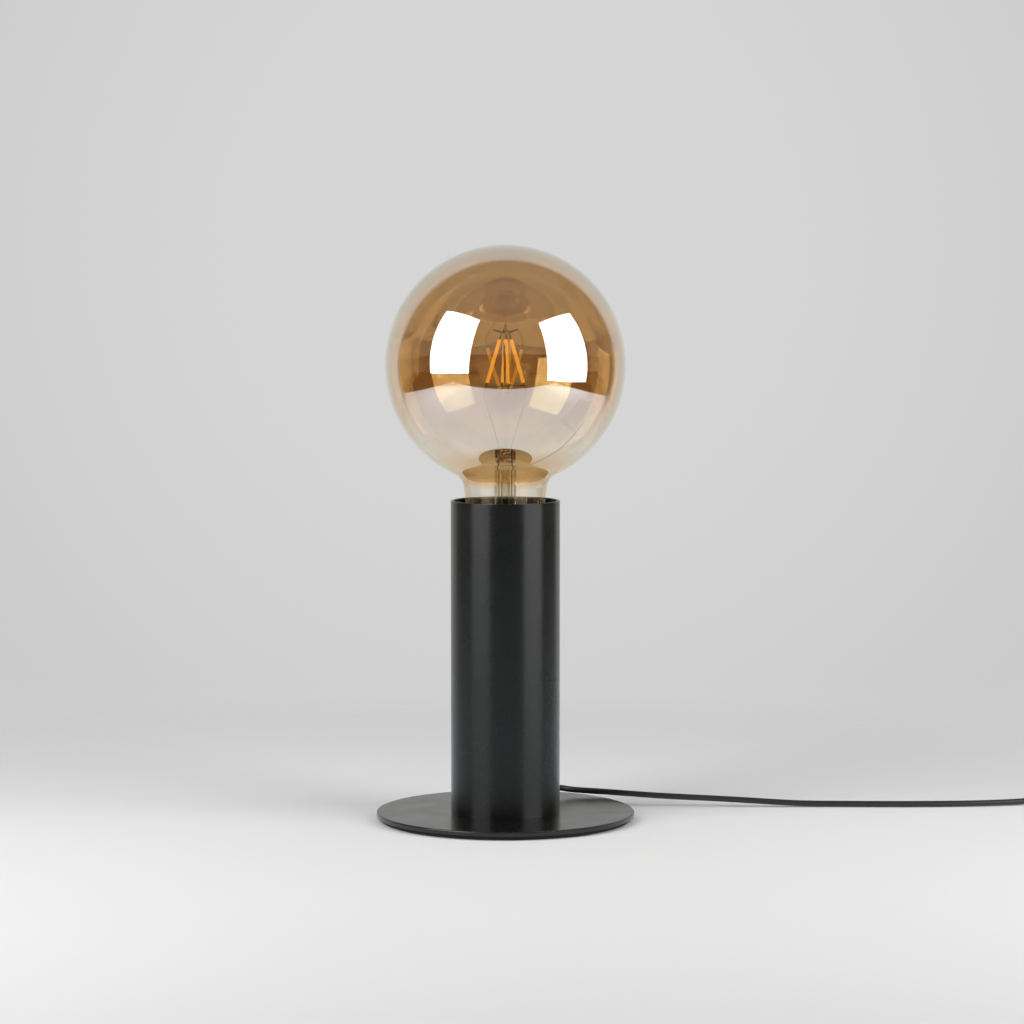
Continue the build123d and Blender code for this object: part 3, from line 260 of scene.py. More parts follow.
# %% Lead from the switch through the coil to the plug
link_points = [
    (0.3620, 0.0470, 0.0050),
    (0.3716, 0.0470, 0.0050),
    (0.3812, 0.0470, 0.0028),
]
tail_points = [
    (0.4102, 0.0470, 0.0154),
    (0.42371, 0.0392, 0.011125),
    (0.43151, 0.02569, 0.00685),
    (0.43151, 0.01269, 0.00685),
]
plug_lead = lay_lead("plug_lead", link_points + coil_points + tail_points)
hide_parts("cord_link", "cord_coil", "cord_tail")
print("plug lead:", len(plug_lead.data.splines[0].points), "control points")

# %% [markdown]
# ## Shared effects for the finishes
# Real surfaces are never one flat colour: a coat has a fine skin, a moulding a spark-eroded texture and drawn
# metal its lines. Each effect could be wired again in every material. Two shader groups are built once
# instead and placed with their own sizes. They put out only values that change over the surface, so the
# constant numbers stay on each material's own shader.

# %% Group: surface grain
def open_group(name, inputs, outputs):
    """Empty shader group with named float sockets; returns it with its input and output nodes."""
    group = bpy.data.node_groups.new(name, "ShaderNodeTree")
    for label, value in inputs.items():
        socket = group.interface.new_socket(label, in_out="INPUT", socket_type="NodeSocketFloat")
        socket.default_value = value
    for label in outputs:
        group.interface.new_socket(label, in_out="OUTPUT", socket_type="NodeSocketFloat")
    return group, group.nodes.new("NodeGroupInput"), group.nodes.new("NodeGroupOutput")


def build_surface_grain():
    """Fine grain for a bump and slow clouds for colour and gloss, both on Object coordinates."""
    group, entry, result = open_group("surface_grain", {"Fineness": 1500.0, "Cloud Fineness": 60.0},
                                      ["Height", "Cloud"])
    place = group.nodes.new("ShaderNodeTexCoord")
    fine = group.nodes.new("ShaderNodeTexNoise")
    fine.inputs["Detail"].default_value = 3.0
    fine.inputs["Roughness"].default_value = 0.6
    slow = group.nodes.new("ShaderNodeTexNoise")
    slow.inputs["Detail"].default_value = 4.0
    for noise, size in ((fine, "Fineness"), (slow, "Cloud Fineness")):
        group.links.new(place.outputs["Object"], noise.inputs["Vector"])
        group.links.new(entry.outputs[size], noise.inputs["Scale"])
    group.links.new(fine.outputs["Fac"], result.inputs["Height"])
    group.links.new(slow.outputs["Fac"], result.inputs["Cloud"])
    return group


surface_grain = build_surface_grain()
print("group:", surface_grain.name)

# %% Group: turned lines
def build_turned_lines():
    """Fine rings round the lamp's upright axis, as a lathe or a draw die leaves them."""
    group, entry, result = open_group("turned_lines", {"Fineness": 4000.0, "Wander": 40.0}, ["Lines"])
    place = group.nodes.new("ShaderNodeTexCoord")
    scale = group.nodes.new("ShaderNodeCombineXYZ")
    for axis, size in (("X", "Wander"), ("Y", "Wander"), ("Z", "Fineness")):
        group.links.new(entry.outputs[size], scale.inputs[axis])
    stretch = group.nodes.new("ShaderNodeVectorMath")
    stretch.operation = "MULTIPLY"
    group.links.new(place.outputs["Object"], stretch.inputs[0])
    group.links.new(scale.outputs["Vector"], stretch.inputs[1])
    noise = group.nodes.new("ShaderNodeTexNoise")
    noise.inputs["Scale"].default_value = 1.0
    noise.inputs["Detail"].default_value = 2.0
    group.links.new(stretch.outputs["Vector"], noise.inputs["Vector"])
    group.links.new(noise.outputs["Fac"], result.inputs["Lines"])
    return group


turned_lines = build_turned_lines()
print("group:", turned_lines.name)

# %% [markdown]
# ## Masks
# Some finishes change with height, with distance or with the kind of ray that meets them. A painted picture
# could hold such a change, but a mask that is worked out needs no picture and has no seams. A Map Range node
# makes a soft step of any measure, and Math nodes join the steps. Light Path tells which rays some surface
# has mirrored, so that the studio can show its mirrors a dim room and the eye a pale wall.

# %% Steps, sums and distances
def step_mask(tree, value, start, end):
    """Soft step from 0 at the start to 1 at the end."""
    mask = tree.nodes.new("ShaderNodeMapRange")
    mask.interpolation_type = "SMOOTHSTEP"
    mask.inputs["From Min"].default_value = start
    mask.inputs["From Max"].default_value = end
    tree.links.new(value, mask.inputs["Value"])
    return mask.outputs["Result"]


def worked_out(tree, operation, first, second):
    """Result of a sum on two values, each a constant or a node's output."""
    node = tree.nodes.new("ShaderNodeMath")
    node.operation = operation
    for socket, value in zip(node.inputs, (first, second)):
        if isinstance(value, float):
            socket.default_value = value
        else:
            tree.links.new(value, socket)
    return node.outputs["Value"]


def window_mask(tree, value, start, end, soft):
    """1 between two values, with soft edges outside them."""
    rise = step_mask(tree, value, start - soft, start)
    return worked_out(tree, "MULTIPLY", rise, step_mask(tree, value, end + soft, end))


def distance_from(tree, place, centre):
    """Distance of a place from a fixed point."""
    node = tree.nodes.new("ShaderNodeVectorMath")
    node.operation = "DISTANCE"
    node.inputs[1].default_value = centre
    tree.links.new(place, node.inputs[0])
    return node.outputs["Value"]


def place_on(tree, coordinates="Object"):
    """Place of the shaded point, whole and as its X, Y and Z."""
    place = tree.nodes.new("ShaderNodeTexCoord").outputs[coordinates]
    apart = tree.nodes.new("ShaderNodeSeparateXYZ")
    tree.links.new(place, apart.inputs["Vector"])
    return place, apart.outputs


print("steps, sums and distances ready")

# %% Mirrored rays and looking rays
def sorted_rays(tree):
    """Masks of the rays that a surface has mirrored, and of those straight from the eye or through glass."""
    path = tree.nodes.new("ShaderNodeLightPath")
    once = worked_out(tree, "MINIMUM", path.outputs["Glossy Depth"], 1.0)
    sharp = worked_out(tree, "SUBTRACT", once, path.outputs["Is Diffuse Ray"])
    mirrored = worked_out(tree, "MAXIMUM", sharp, 0.0)
    sent = worked_out(tree, "MAXIMUM", path.outputs["Is Camera Ray"], path.outputs["Is Transmission Ray"])
    straight = worked_out(tree, "SUBTRACT", sent, mirrored)
    looking = worked_out(tree, "MAXIMUM", straight, 0.0)
    return mirrored, looking


print("rays sorted by Light Path")

# %% [markdown]
# ## Opaque finishes
# Most pieces are a coat, a moulding or a metal. They share one way of building: the clouds mix two close
# colours and move the roughness a little, and the grain feeds a bump. What makes each finish its own is the
# pair of colours, the range of gloss and the size and depth of the grain.

# %% Colours, values and relief
finishes = {"cord_black": cord_black, "strap_black": strap_black}
usual_low = 0.3
usual_high = 0.7


def open_finish(name):
    """Material with its node tree ready, kept in the table of finishes by the name of its slot."""
    finish = finishes.get(name) or bpy.data.materials.new(name)
    finish.use_nodes = True
    finishes[name] = finish
    return finish.node_tree


def place_group(tree, group, **sizes):
    """Node that places a shared group in a material with its own sizes."""
    node = tree.nodes.new("ShaderNodeGroup")
    node.node_tree = group
    for label, value in sizes.items():
        node.inputs[label.replace("_", " ")].default_value = value
    return node


def mixed(tree, factor, first, second):
    """Colour between two others, each a constant or a node's output, by a varying factor."""
    mix = tree.nodes.new("ShaderNodeMix")
    mix.data_type = "RGBA"
    for label, colour in (("A", first), ("B", second)):
        if isinstance(colour, tuple):
            mix.inputs[label].default_value = (*colour, 1)
        else:
            tree.links.new(colour, mix.inputs[label])
    tree.links.new(factor, mix.inputs["Factor"])
    return mix.outputs["Result"]


def spread_value(tree, factor, low, high, target):
    """A varying factor, usually near its middle, spread over a range of values."""
    spread = tree.nodes.new("ShaderNodeMapRange")
    spread.inputs["From Min"].default_value = usual_low
    spread.inputs["From Max"].default_value = usual_high
    spread.inputs["To Min"].default_value = low
    spread.inputs["To Max"].default_value = high
    tree.links.new(factor, spread.inputs["Value"])
    tree.links.new(spread.outputs["Result"], target)


def add_relief(tree, height, depth, strength, target):
    """Bump of a real depth in metres into a normal socket."""
    bump = tree.nodes.new("ShaderNodeBump")
    bump.inputs["Strength"].default_value = strength
    bump.inputs["Distance"].default_value = depth
    tree.links.new(height, bump.inputs["Height"])
    tree.links.new(bump.outputs["Normal"], target)


print("ready to mix finishes")

# %% Two kinds of finish
def grained_finish(name, dark, light, gloss, fineness, depth, clouds=60.0, strength=0.5):
    """Coat or moulding with a fine skin; returns its shader for the numbers that are its own."""
    tree = open_finish(name)
    shader = tree.nodes["Principled BSDF"]
    grain = place_group(tree, surface_grain, Fineness=fineness, Cloud_Fineness=clouds)
    tree.links.new(mixed(tree, grain.outputs["Cloud"], dark, light), shader.inputs["Base Color"])
    spread_value(tree, grain.outputs["Cloud"], *gloss, shader.inputs["Roughness"])
    add_relief(tree, grain.outputs["Height"], depth, strength, shader.inputs["Normal"])
    return shader


def turned_finish(name, dark, light, gloss, fineness, depth, clouds=180.0, strength=0.4):
    """Bare or plated metal with the lines of its making and cloudy colour."""
    tree = open_finish(name)
    shader = tree.nodes["Principled BSDF"]
    shader.inputs["Metallic"].default_value = 1.0
    cloudy = place_group(tree, surface_grain, Cloud_Fineness=clouds)
    lines = place_group(tree, turned_lines, Fineness=fineness)
    tree.links.new(mixed(tree, cloudy.outputs["Cloud"], dark, light), shader.inputs["Base Color"])
    spread_value(tree, lines.outputs["Lines"], *gloss, shader.inputs["Roughness"])
    add_relief(tree, lines.outputs["Lines"], depth, strength, shader.inputs["Normal"])


print("two kinds of finish: grained and turned")

# %% [markdown]
# ### The black coat
# Plate and tube carry one satin black powder coat, and its two blacks differ only a little. The tube was
# drawn before it was coated, so its highlights run upright. A wavy normal could stretch them; the shader's
# Anisotropic value does it with less noise, with a Tangent node that turns round the upright axis.

# %% Black coat of the plate and the tube
steel_dark = (0.0045, 0.0045, 0.0047)
steel_light = (0.0068, 0.0068, 0.007)
coat_fineness = 1500
coat_depth = 0.00003
grained_finish("black_steel", steel_dark, steel_light, (0.22, 0.28), coat_fineness, coat_depth)
tube_steel = grained_finish("tube_steel", steel_dark, steel_light, (0.25, 0.31), coat_fineness, coat_depth)
tube_steel.inputs["Specular IOR Level"].default_value = 0.37
tube_steel.inputs["Anisotropic"].default_value = 0.8
tube_steel.inputs["Anisotropic Rotation"].default_value = 0.25
tube_tree = finishes["tube_steel"].node_tree
round_axis = tube_tree.nodes.new("ShaderNodeTangent")
round_axis.direction_type = "RADIAL"
round_axis.axis = "Z"
tube_tree.links.new(round_axis.outputs["Tangent"], tube_steel.inputs["Tangent"])
print(len(finishes), "finishes")

# %% [markdown]
# ### Mouldings, rubber, wires and metals
# Each line below is one finish: its darker and lighter colour, its range of gloss, and the fineness and depth
# of its skin. They could all share one shader with a colour each, but gloss and grain tell rubber from a
# moulding. The lead wires in the bulb look brighter than the filaments' ends, so they have their own metal.

# %% Mouldings, rubber and wires
grained_finish("pad_foam", (0.008, 0.008, 0.008), (0.018, 0.018, 0.018), (0.82, 0.95), 2600, 0.0002)
grained_finish("cord_black", (0.010, 0.010, 0.0105), (0.015, 0.015, 0.0155), (0.40, 0.52), 3200, 0.00003)
grained_finish("strap_black", (0.006, 0.006, 0.006), (0.020, 0.020, 0.021), (0.8, 0.95), 2200, 0.00025,
               clouds=1400)
grained_finish("holder_plastic", (0.014, 0.013, 0.012), (0.024, 0.022, 0.020), (0.34, 0.48), 1100, 0.00003)
grained_finish("switch_black", (0.012, 0.012, 0.013), (0.019, 0.019, 0.020), (0.46, 0.6), 2400, 0.00008)
grained_finish("rocker_black", (0.014, 0.014, 0.015), (0.019, 0.019, 0.020), (0.20, 0.28), 1800, 0.00001)
grained_finish("wire_brown", (0.13, 0.055, 0.022), (0.20, 0.085, 0.035), (0.38, 0.5), 2600, 0.00003)
grained_finish("wire_blue", (0.03, 0.10, 0.30), (0.05, 0.16, 0.42), (0.38, 0.5), 2600, 0.00003)
grained_finish("core_ceramic", (0.72, 0.69, 0.62), (0.84, 0.82, 0.76), (0.45, 0.62), 2200, 0.00006,
               clouds=420)
grained_finish("cap_insulation", (0.010, 0.010, 0.014), (0.020, 0.020, 0.026), (0.08, 0.16), 500, 0.00002)
print(len(finishes), "finishes")

# %% Metals
turned_finish("zinc_steel", (0.50, 0.51, 0.53), (0.66, 0.67, 0.68), (0.28, 0.44), 2500, 0.00002)
turned_finish("brass", (0.58, 0.40, 0.15), (0.76, 0.57, 0.27), (0.20, 0.36), 3500, 0.00002)
turned_finish("pin_nickel", (0.60, 0.57, 0.52), (0.72, 0.69, 0.63), (0.14, 0.26), 3500, 0.00001)
turned_finish("cap_nickel", (0.56, 0.52, 0.44), (0.70, 0.66, 0.57), (0.16, 0.30), 3000, 0.00001)
turned_finish("filament_metal", (0.07, 0.06, 0.05), (0.14, 0.12, 0.10), (0.24, 0.38), 6000, 0.00001)
turned_finish("lead_metal", (0.17, 0.155, 0.135), (0.27, 0.25, 0.22), (0.24, 0.38), 6000, 0.00001)
turned_finish("solder", (0.46, 0.46, 0.47), (0.62, 0.62, 0.62), (0.30, 0.5), 700, 0.00005)
print(len(finishes), "finishes")

# %% [markdown]
# ## Phosphor and board
# The filaments are slim strips under a silicone that is full of yellow phosphor. The phosphor answers
# daylight with a faint glow of its own, and the little emission added to the grainy orange skin is also a
# painted glow that brightens the filaments behind the glass. The board low in the cap has a green lacquer
# over copper tracks; a brick pattern stands for the tracks.

# %% Phosphor
phosphor = grained_finish("phosphor", (0.82, 0.46, 0.06), (0.94, 0.60, 0.12), (0.5, 0.68), 5200, 0.00006,
                          clouds=900)
# Painted glow: the emission brightens the filaments beyond the light that reaches them through the globe.
phosphor.inputs["Emission Color"].default_value = (1.0, 0.71, 0.17, 1)
phosphor.inputs["Emission Strength"].default_value = 1.15
print(len(finishes), "finishes")

# %% Board
def build_board_green():
    """Green lacquer with copper tracks showing through."""
    tree = open_finish("board_green")
    shader = tree.nodes["Principled BSDF"]
    shader.inputs["Roughness"].default_value = 0.35
    place = tree.nodes.new("ShaderNodeTexCoord")
    tracks = tree.nodes.new("ShaderNodeTexBrick")
    tracks.inputs["Color1"].default_value = (0.03, 0.15, 0.06, 1)
    tracks.inputs["Color2"].default_value = (0.04, 0.19, 0.08, 1)
    tracks.inputs["Mortar"].default_value = (0.16, 0.24, 0.08, 1)
    tracks.inputs["Scale"].default_value = 260.0
    tracks.inputs["Mortar Size"].default_value = 0.06
    tree.links.new(place.outputs["Object"], tracks.inputs["Vector"])
    tree.links.new(tracks.outputs["Color"], shader.inputs["Base Color"])
    add_relief(tree, tracks.outputs["Fac"], depth=0.00003, strength=0.4, target=shader.inputs["Normal"])


build_board_green()
print(len(finishes), "finishes")

# %% [markdown]
# ## Glass
# The globe is amber glass under a thin metal-oxide lustre. The lustre mirrors the room almost without colour,
# while the light that comes through is tinted, which is why the globe looks golden where it mirrors the dark
# room and nearly white where it mirrors the pale table. The tint is the shader's base colour and the lustre
# is its coat, with a high index of refraction. The coat is laid only where a ray meets the glass from the
# air. Towards the neck both fade out, because the photograph shows nearly clear glass there.

# %% Glass, clear and slightly uneven
glass_index = 1.5
ripple_fineness = 70.0
glass_clouds = 25.0


def glass_finish(name, dark, light, ripple):
    """Clear, slightly uneven glass; returns its tree and shader."""
    tree = open_finish(name)
    shader = tree.nodes["Principled BSDF"]
    shader.inputs["Transmission Weight"].default_value = 1.0
    shader.inputs["IOR"].default_value = glass_index
    shader.inputs["Roughness"].default_value = 0.0
    grain = place_group(tree, surface_grain, Fineness=ripple_fineness, Cloud_Fineness=glass_clouds)
    tree.links.new(mixed(tree, grain.outputs["Cloud"], dark, light), shader.inputs["Base Color"])
    add_relief(tree, grain.outputs["Height"], depth=ripple, strength=0.5, target=shader.inputs["Normal"])
    return tree, shader


print("glass with an index of", glass_index)

# %% [markdown]
# Inside the globe, light is mirrored to and fro before it leaves. A few bounces can't show all of that, so
# mirrored rays meet glass with painted reflections: a pale tint low down and a cooler one above for the
# weaker images of the soft boxes, a brown one in the neck, and a painted dark patch with a faint painted glow
# round the mouth of the neck. The upper globe mirrors that patch as an oval, a painted image of the neck's
# mouth.
# The heights and distances below are in metres, as start and end of a soft step.

# %% Tints of mirrored rays
black = (0.0, 0.0, 0.0)
# Painted reflections: tints of the glass for mirrored rays, standing in for light mirrored inside the globe.
painted_bounce_low = (1.0, 1.0, 0.74)
painted_bounce_high = (0.46, 0.66, 0.61)
bounce_fade = (0.260, 0.270)
painted_neck_bounce = (0.46, 0.34, 0.22)
painted_neck_glow = (0.08, 0.06, 0.035)
neck_fade = (0.1835, 0.1825)
# Painted shade and painted glow for mirrored rays round the mouth of the neck.
painted_throat_shade = (0.32, 0.32, 0.25)
painted_throat_glow = (0.12, 0.10, 0.06)
throat_middle = (0, 0.011, 0)
throat_widening = (0.75, 1, 0)
throat_edge = (0.0325, 0.0305)
throat_top = (0.202, 0.198)


def throat_mask(tree, place, height):
    """Wide patch low on the globe, round the mouth of the neck, where mirrored rays meet painted shade and
    glow.
    """
    flat = tree.nodes.new("ShaderNodeVectorMath")
    flat.operation = "MULTIPLY"
    flat.inputs[1].default_value = throat_widening
    tree.links.new(place, flat.inputs[0])
    reach = distance_from(tree, flat.outputs["Vector"], throat_middle)
    near = step_mask(tree, reach, *throat_edge)
    return worked_out(tree, "MULTIPLY", near, step_mask(tree, height, *throat_top))


def painted_mirror_tints(tree, place, height, mirrored):
    """Painted reflections: tint and glow of the globe's glass for mirrored rays."""
    bounce = mixed(tree, step_mask(tree, height, *bounce_fade), painted_bounce_low, painted_bounce_high)
    throat = throat_mask(tree, place, height)
    neck = step_mask(tree, height, *neck_fade)
    tint = mixed(tree, neck, mixed(tree, throat, bounce, painted_throat_shade), painted_neck_bounce)
    lit = worked_out(tree, "MULTIPLY", mirrored, throat)
    glow = mixed(tree, lit, black, mixed(tree, neck, painted_throat_glow, painted_neck_glow))
    return tint, glow


print("patch round the mouth of the neck: up to", throat_edge[0], "m from its middle")

# %% Amber glass with a lustre
amber_dark = (0.775, 0.45, 0.19)
amber_light = (0.805, 0.485, 0.225)
amber_fade = (0.190, 0.215)
collar_tint = (0.91, 0.69, 0.43)
collar_fade = (0.1735, 0.1785)
neck_tint = (0.93, 0.90, 0.83)
lustre_index = 4.0
lustre_fade = (0.183, 0.197)
globe_ripple = 0.00001


def build_amber_glass():
    """Amber glass whose tint and lustre grow from the neck to the globe."""
    tree, shader = glass_finish("amber_glass", amber_dark, amber_light, globe_ripple)
    shader.inputs["Coat IOR"].default_value = lustre_index
    shader.inputs["Coat Roughness"].default_value = 0.0
    shader.inputs["Emission Strength"].default_value = 1.0
    place, axes = place_on(tree)
    height = axes["Z"]
    mirrored = sorted_rays(tree)[0]
    amber = shader.inputs["Base Color"].links[0].from_socket
    collar = mixed(tree, step_mask(tree, height, *collar_fade), neck_tint, collar_tint)
    through = mixed(tree, step_mask(tree, height, *amber_fade), collar, amber)
    # Mirrored rays meet the painted reflections and the painted glow.
    tint, glow = painted_mirror_tints(tree, place, height, mirrored)
    tree.links.new(mixed(tree, mirrored, through, tint), shader.inputs["Base Color"])
    tree.links.new(glow, shader.inputs["Emission Color"])
    facing = tree.nodes.new("ShaderNodeNewGeometry")
    from_air = worked_out(tree, "SUBTRACT", 1.0, facing.outputs["Backfacing"])
    coated = worked_out(tree, "MAXIMUM", step_mask(tree, height, *lustre_fade), mirrored)
    tree.links.new(worked_out(tree, "MULTIPLY", from_air, coated), shader.inputs["Coat Weight"])


build_amber_glass()
print(len(finishes), "finishes")

# %% [markdown]
# The stem inside the neck is clear glass, drawn as a tube and pinched flat round the lead wires while hot.
# Its rounded edges look dark brown. There the eye meets a long way through the glass; Layer Weight finds the
# edges and paints them brown, a painted shade far darker than the clear glass itself, and a lower index of
# refraction keeps bright reflections off them. The pinched block is full of small folds, so a noise mixes
# clear and brown in it.

# %% Clear glass of the stem
stem_dark = (0.90, 0.86, 0.77)
stem_light = (0.97, 0.95, 0.90)
# Painted shade on the stem's edges.
painted_stem_edge_shade = (0.08, 0.03, 0.008)
stem_index = 1.25
stem_ripple = 0.00004
edge_range = (0.55, 0.92)
press_dark = (0.12, 0.05, 0.012)
press_light = (0.98, 0.88, 0.70)
press_foot = (0.1866, 0.1876)
press_head = (0.1946, 0.1940)
fold_fineness = 800.0
fold_range = (0.40, 0.60)


def build_clear_glass():
    """Clear glass with painted brown shade on its edges and a mottled press above the tube."""
    tree, shader = glass_finish("clear_glass", stem_dark, stem_light, stem_ripple)
    shader.inputs["IOR"].default_value = stem_index
    place, axes = place_on(tree)
    folds = tree.nodes.new("ShaderNodeTexNoise")
    folds.inputs["Scale"].default_value = fold_fineness
    folds.inputs["Detail"].default_value = 3.0
    tree.links.new(place, folds.inputs["Vector"])
    mottled = mixed(tree, step_mask(tree, folds.outputs["Fac"], *fold_range), press_dark, press_light)
    clear = shader.inputs["Base Color"].links[0].from_socket
    above = step_mask(tree, axes["Z"], *press_foot)
    below = step_mask(tree, axes["Z"], *press_head)
    glass = mixed(tree, worked_out(tree, "MULTIPLY", above, below), clear, mottled)
    # Painted shade: dark brown where the stem's edges turn away from the eye.
    edges = tree.nodes.new("ShaderNodeLayerWeight")
    edges.inputs["Blend"].default_value = 0.5
    edge = step_mask(tree, edges.outputs["Facing"], *edge_range)
    tree.links.new(mixed(tree, edge, glass, painted_stem_edge_shade), shader.inputs["Base Color"])


build_clear_glass()
print(len(finishes), "finishes")

# %% [markdown]
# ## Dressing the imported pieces
# The record names a material slot for every piece, and the finishes have the slots' names, so one loop
# dresses them all. The tube and the lead wires then take the finishes that were made for them alone.

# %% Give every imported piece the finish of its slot
for subpart in frame["record"]["subparts"]:
    piece = frame["nodes"][subpart["node"]]
    for slot in piece.material_slots:
        slot.material = finishes[subpart["material_slot"]]
frame["nodes"]["tube"].material_slots[0].material = finishes["tube_steel"]
frame["nodes"]["lead_wires"].material_slots[0].material = finishes["lead_metal"]

# %% [markdown]
# ## The studio
# A pale sheet lies under the lamp and melts into a pale backdrop. It could be one bent sweep; a flat floor
# that turns see-through far away does the same without a visible bend. The floor is painted lighter towards
# the backdrop, painted light where the lamps' light falls off, and painted darker under the left soft box, a
# painted shade that holds down the pool of light there. In mirrors it is a sheet of paper with a faint
# painted glow and with edges, past which the room is painted dark. Where the spare cord lies, mirrors see the
# paper painted evenly lit, without the shadows of the switch, the coil and the plug.

# %% Colours and reach of the floor
floor_level = -0.0002
floor_half_size = 3.0
floor_squares = 8
# Painted light and shade on the floor: lighter towards the back, darker in a pool under the left soft box.
floor_near = (0.73, 0.73, 0.73)
floor_far = (0.90, 0.90, 0.90)
floor_painted_paling = (-0.60, 0.25)
fade_centre = (0, -0.17, 0)
fade_range = (0.36, 0.70)
floor_pool_painted_shade = (0.55, 0.55, 0.55)
pool_centre = (-0.55, -0.41, 0)
pool_range = (0.36, 0.10)
room_dark = (0.020, 0.018, 0.015)
print("floor", 2 * floor_half_size, "m wide")

# %% The floor as mirrors see it
sheet_middle = -0.035
sheet_half_width = 0.775
sheet_reach = 0.675
sheet_spread = 0.53
sheet_soft = 0.02
spread_soft = 0.04
sheet_back = (0.25, 0.55)
# Painted light for mirrored rays: a faint glow on the sheet, and round the spare cord an even glow in place
# of the shaded paper.
painted_mirror_glow = (0.11, 0.18, 0.215)
painted_spare_glow = (0.885, 0.955, 0.99)
spare_across = (0.255, 0.52)
spare_along = (-0.10, 0.09)
spare_soft = 0.03


def past_sheet(tree, axes):
    """Floor outside the sheet that mirrors show, painted dark for them: past its sides, which open backwards,
    or its front edge.
    """
    aside = worked_out(tree, "ABSOLUTE", worked_out(tree, "SUBTRACT", axes["X"], sheet_middle), 0.0)
    side = step_mask(tree, aside, sheet_half_width - sheet_soft, sheet_half_width + sheet_soft)
    slant = worked_out(tree, "MULTIPLY", aside, sheet_spread)
    opening = worked_out(tree, "SUBTRACT", slant, axes["Y"])
    side = worked_out(tree, "MULTIPLY", side, step_mask(tree, opening, 0.0, spread_soft))
    front = step_mask(tree, axes["Y"], sheet_soft - sheet_reach, -sheet_soft - sheet_reach)
    return worked_out(tree, "MAXIMUM", side, front)


def spare_patch(tree, axes):
    """Floor round the switch, the coil and the plug, painted evenly lit for mirrors so that their shadows
    don't show.
    """
    across = window_mask(tree, axes["X"], *spare_across, spare_soft)
    along = window_mask(tree, axes["Y"], *spare_along, spare_soft)
    return worked_out(tree, "MULTIPLY", across, along)


print("mirrored sheet", 2 * sheet_half_width, "m wide")

# %% Floor
def build_floor_sheet():
    """Pale paper, unseen far away, with painted light and shade; mirrors see a painted glow and a painted
    dark room.
    """
    tree = open_finish("floor_sheet")
    shader = tree.nodes["Principled BSDF"]
    shader.inputs["Roughness"].default_value = 0.9
    shader.inputs["Specular IOR Level"].default_value = 0.0
    shader.inputs["Emission Strength"].default_value = 1.0
    place, axes = place_on(tree)
    mirrored, looking = sorted_rays(tree)
    # Mirrors see the floor past the sheet painted dark, a faint painted glow on it, and painted even light
    # round the spare cord.
    gone = worked_out(tree, "MULTIPLY", mirrored, past_sheet(tree, axes))
    shown = worked_out(tree, "SUBTRACT", mirrored, gone)
    spare = worked_out(tree, "MULTIPLY", shown, spare_patch(tree, axes))

    # Painted shade for the eye under the left soft box, and painted light towards the back.
    pooled = step_mask(tree, distance_from(tree, place, pool_centre), *pool_range)
    pool = worked_out(tree, "MULTIPLY", looking, pooled)
    pale = mixed(tree, step_mask(tree, axes["Y"], *floor_painted_paling), floor_near, floor_far)
    paper = mixed(tree, gone, mixed(tree, pool, pale, floor_pool_painted_shade), room_dark)
    tree.links.new(mixed(tree, spare, paper, black), shader.inputs["Base Color"])
    glow = mixed(tree, spare, painted_mirror_glow, painted_spare_glow)
    tree.links.new(mixed(tree, shown, black, glow), shader.inputs["Emission Color"])

    behind = worked_out(tree, "MULTIPLY", mirrored, step_mask(tree, axes["Y"], *sheet_back))
    passing = worked_out(tree, "MAXIMUM", looking, behind)
    far = step_mask(tree, distance_from(tree, place, fade_centre), *fade_range)
    unseen = worked_out(tree, "MULTIPLY", far, passing)
    tree.links.new(worked_out(tree, "SUBTRACT", 1.0, unseen), shader.inputs["Alpha"])
    return finishes["floor_sheet"]


floor_mesh = bpy.data.meshes.new("floor")
sheet = bmesh.new()
bmesh.ops.create_grid(sheet, x_segments=floor_squares, y_segments=floor_squares, size=floor_half_size)
bmesh.ops.translate(sheet, verts=sheet.verts, vec=(0, 0, floor_level))
sheet.to_mesh(floor_mesh)
sheet.free()
floor_mesh.materials.append(build_floor_sheet())
floor = bpy.data.objects.new("floor", floor_mesh)
bpy.context.scene.collection.objects.link(floor)
print("floor", len(floor_mesh.polygons), "faces")

# %% [markdown]
# ### Backdrop and room
# The world stands for everything past the floor. The eye sees a pale wall with painted shade that darkens it
# a little towards its edges and painted light that lightens its foot. Matt surfaces get an even soft light.
# Mirrored rays meet a dim room with a sill in front of the lamp, and behind it the backdrop, which the globe
# shows as a pale ring. Real walls would do as well, but the world needs no pieces and throws no shadows.

# %% Colours of the backdrop and the room
soft_light = 0.22
backdrop = (0.668, 0.668, 0.668)
# Painted shade towards the edges of the wall and painted light at its foot.
backdrop_edge_painted_shade = (0.60, 0.60, 0.60)
backdrop_turn = 11
backdrop_foot_painted_light = (0.76, 0.76, 0.76)
low_range = (-0.125, -0.19)
backdrop_mirrored = (0.66, 0.662, 0.635)
room_side = (0.15, 0.11, 0.055)
side_range = (-0.35, 0.10)
room_middle = (0.205, 0.16, 0.10)
room_top = (0.235, 0.21, 0.145)
top_range = (0.50, 1.0)
sill_slope = 0.115
sill_range = (0.095, 0.110)
ring_lift = 0.086
ring_lean = 0.05
ring_range = (0.530, 0.663)


def seen_wall(tree, axes):
    """Colour of the backdrop for the eye, with painted shade towards its edges and painted light at its foot.
    """
    middle = step_mask(tree, axes["Y"], math.cos(math.radians(backdrop_turn)), 1.0)
    wall = mixed(tree, middle, backdrop_edge_painted_shade, backdrop)
    return mixed(tree, step_mask(tree, axes["Z"], *low_range), wall, backdrop_foot_painted_light)


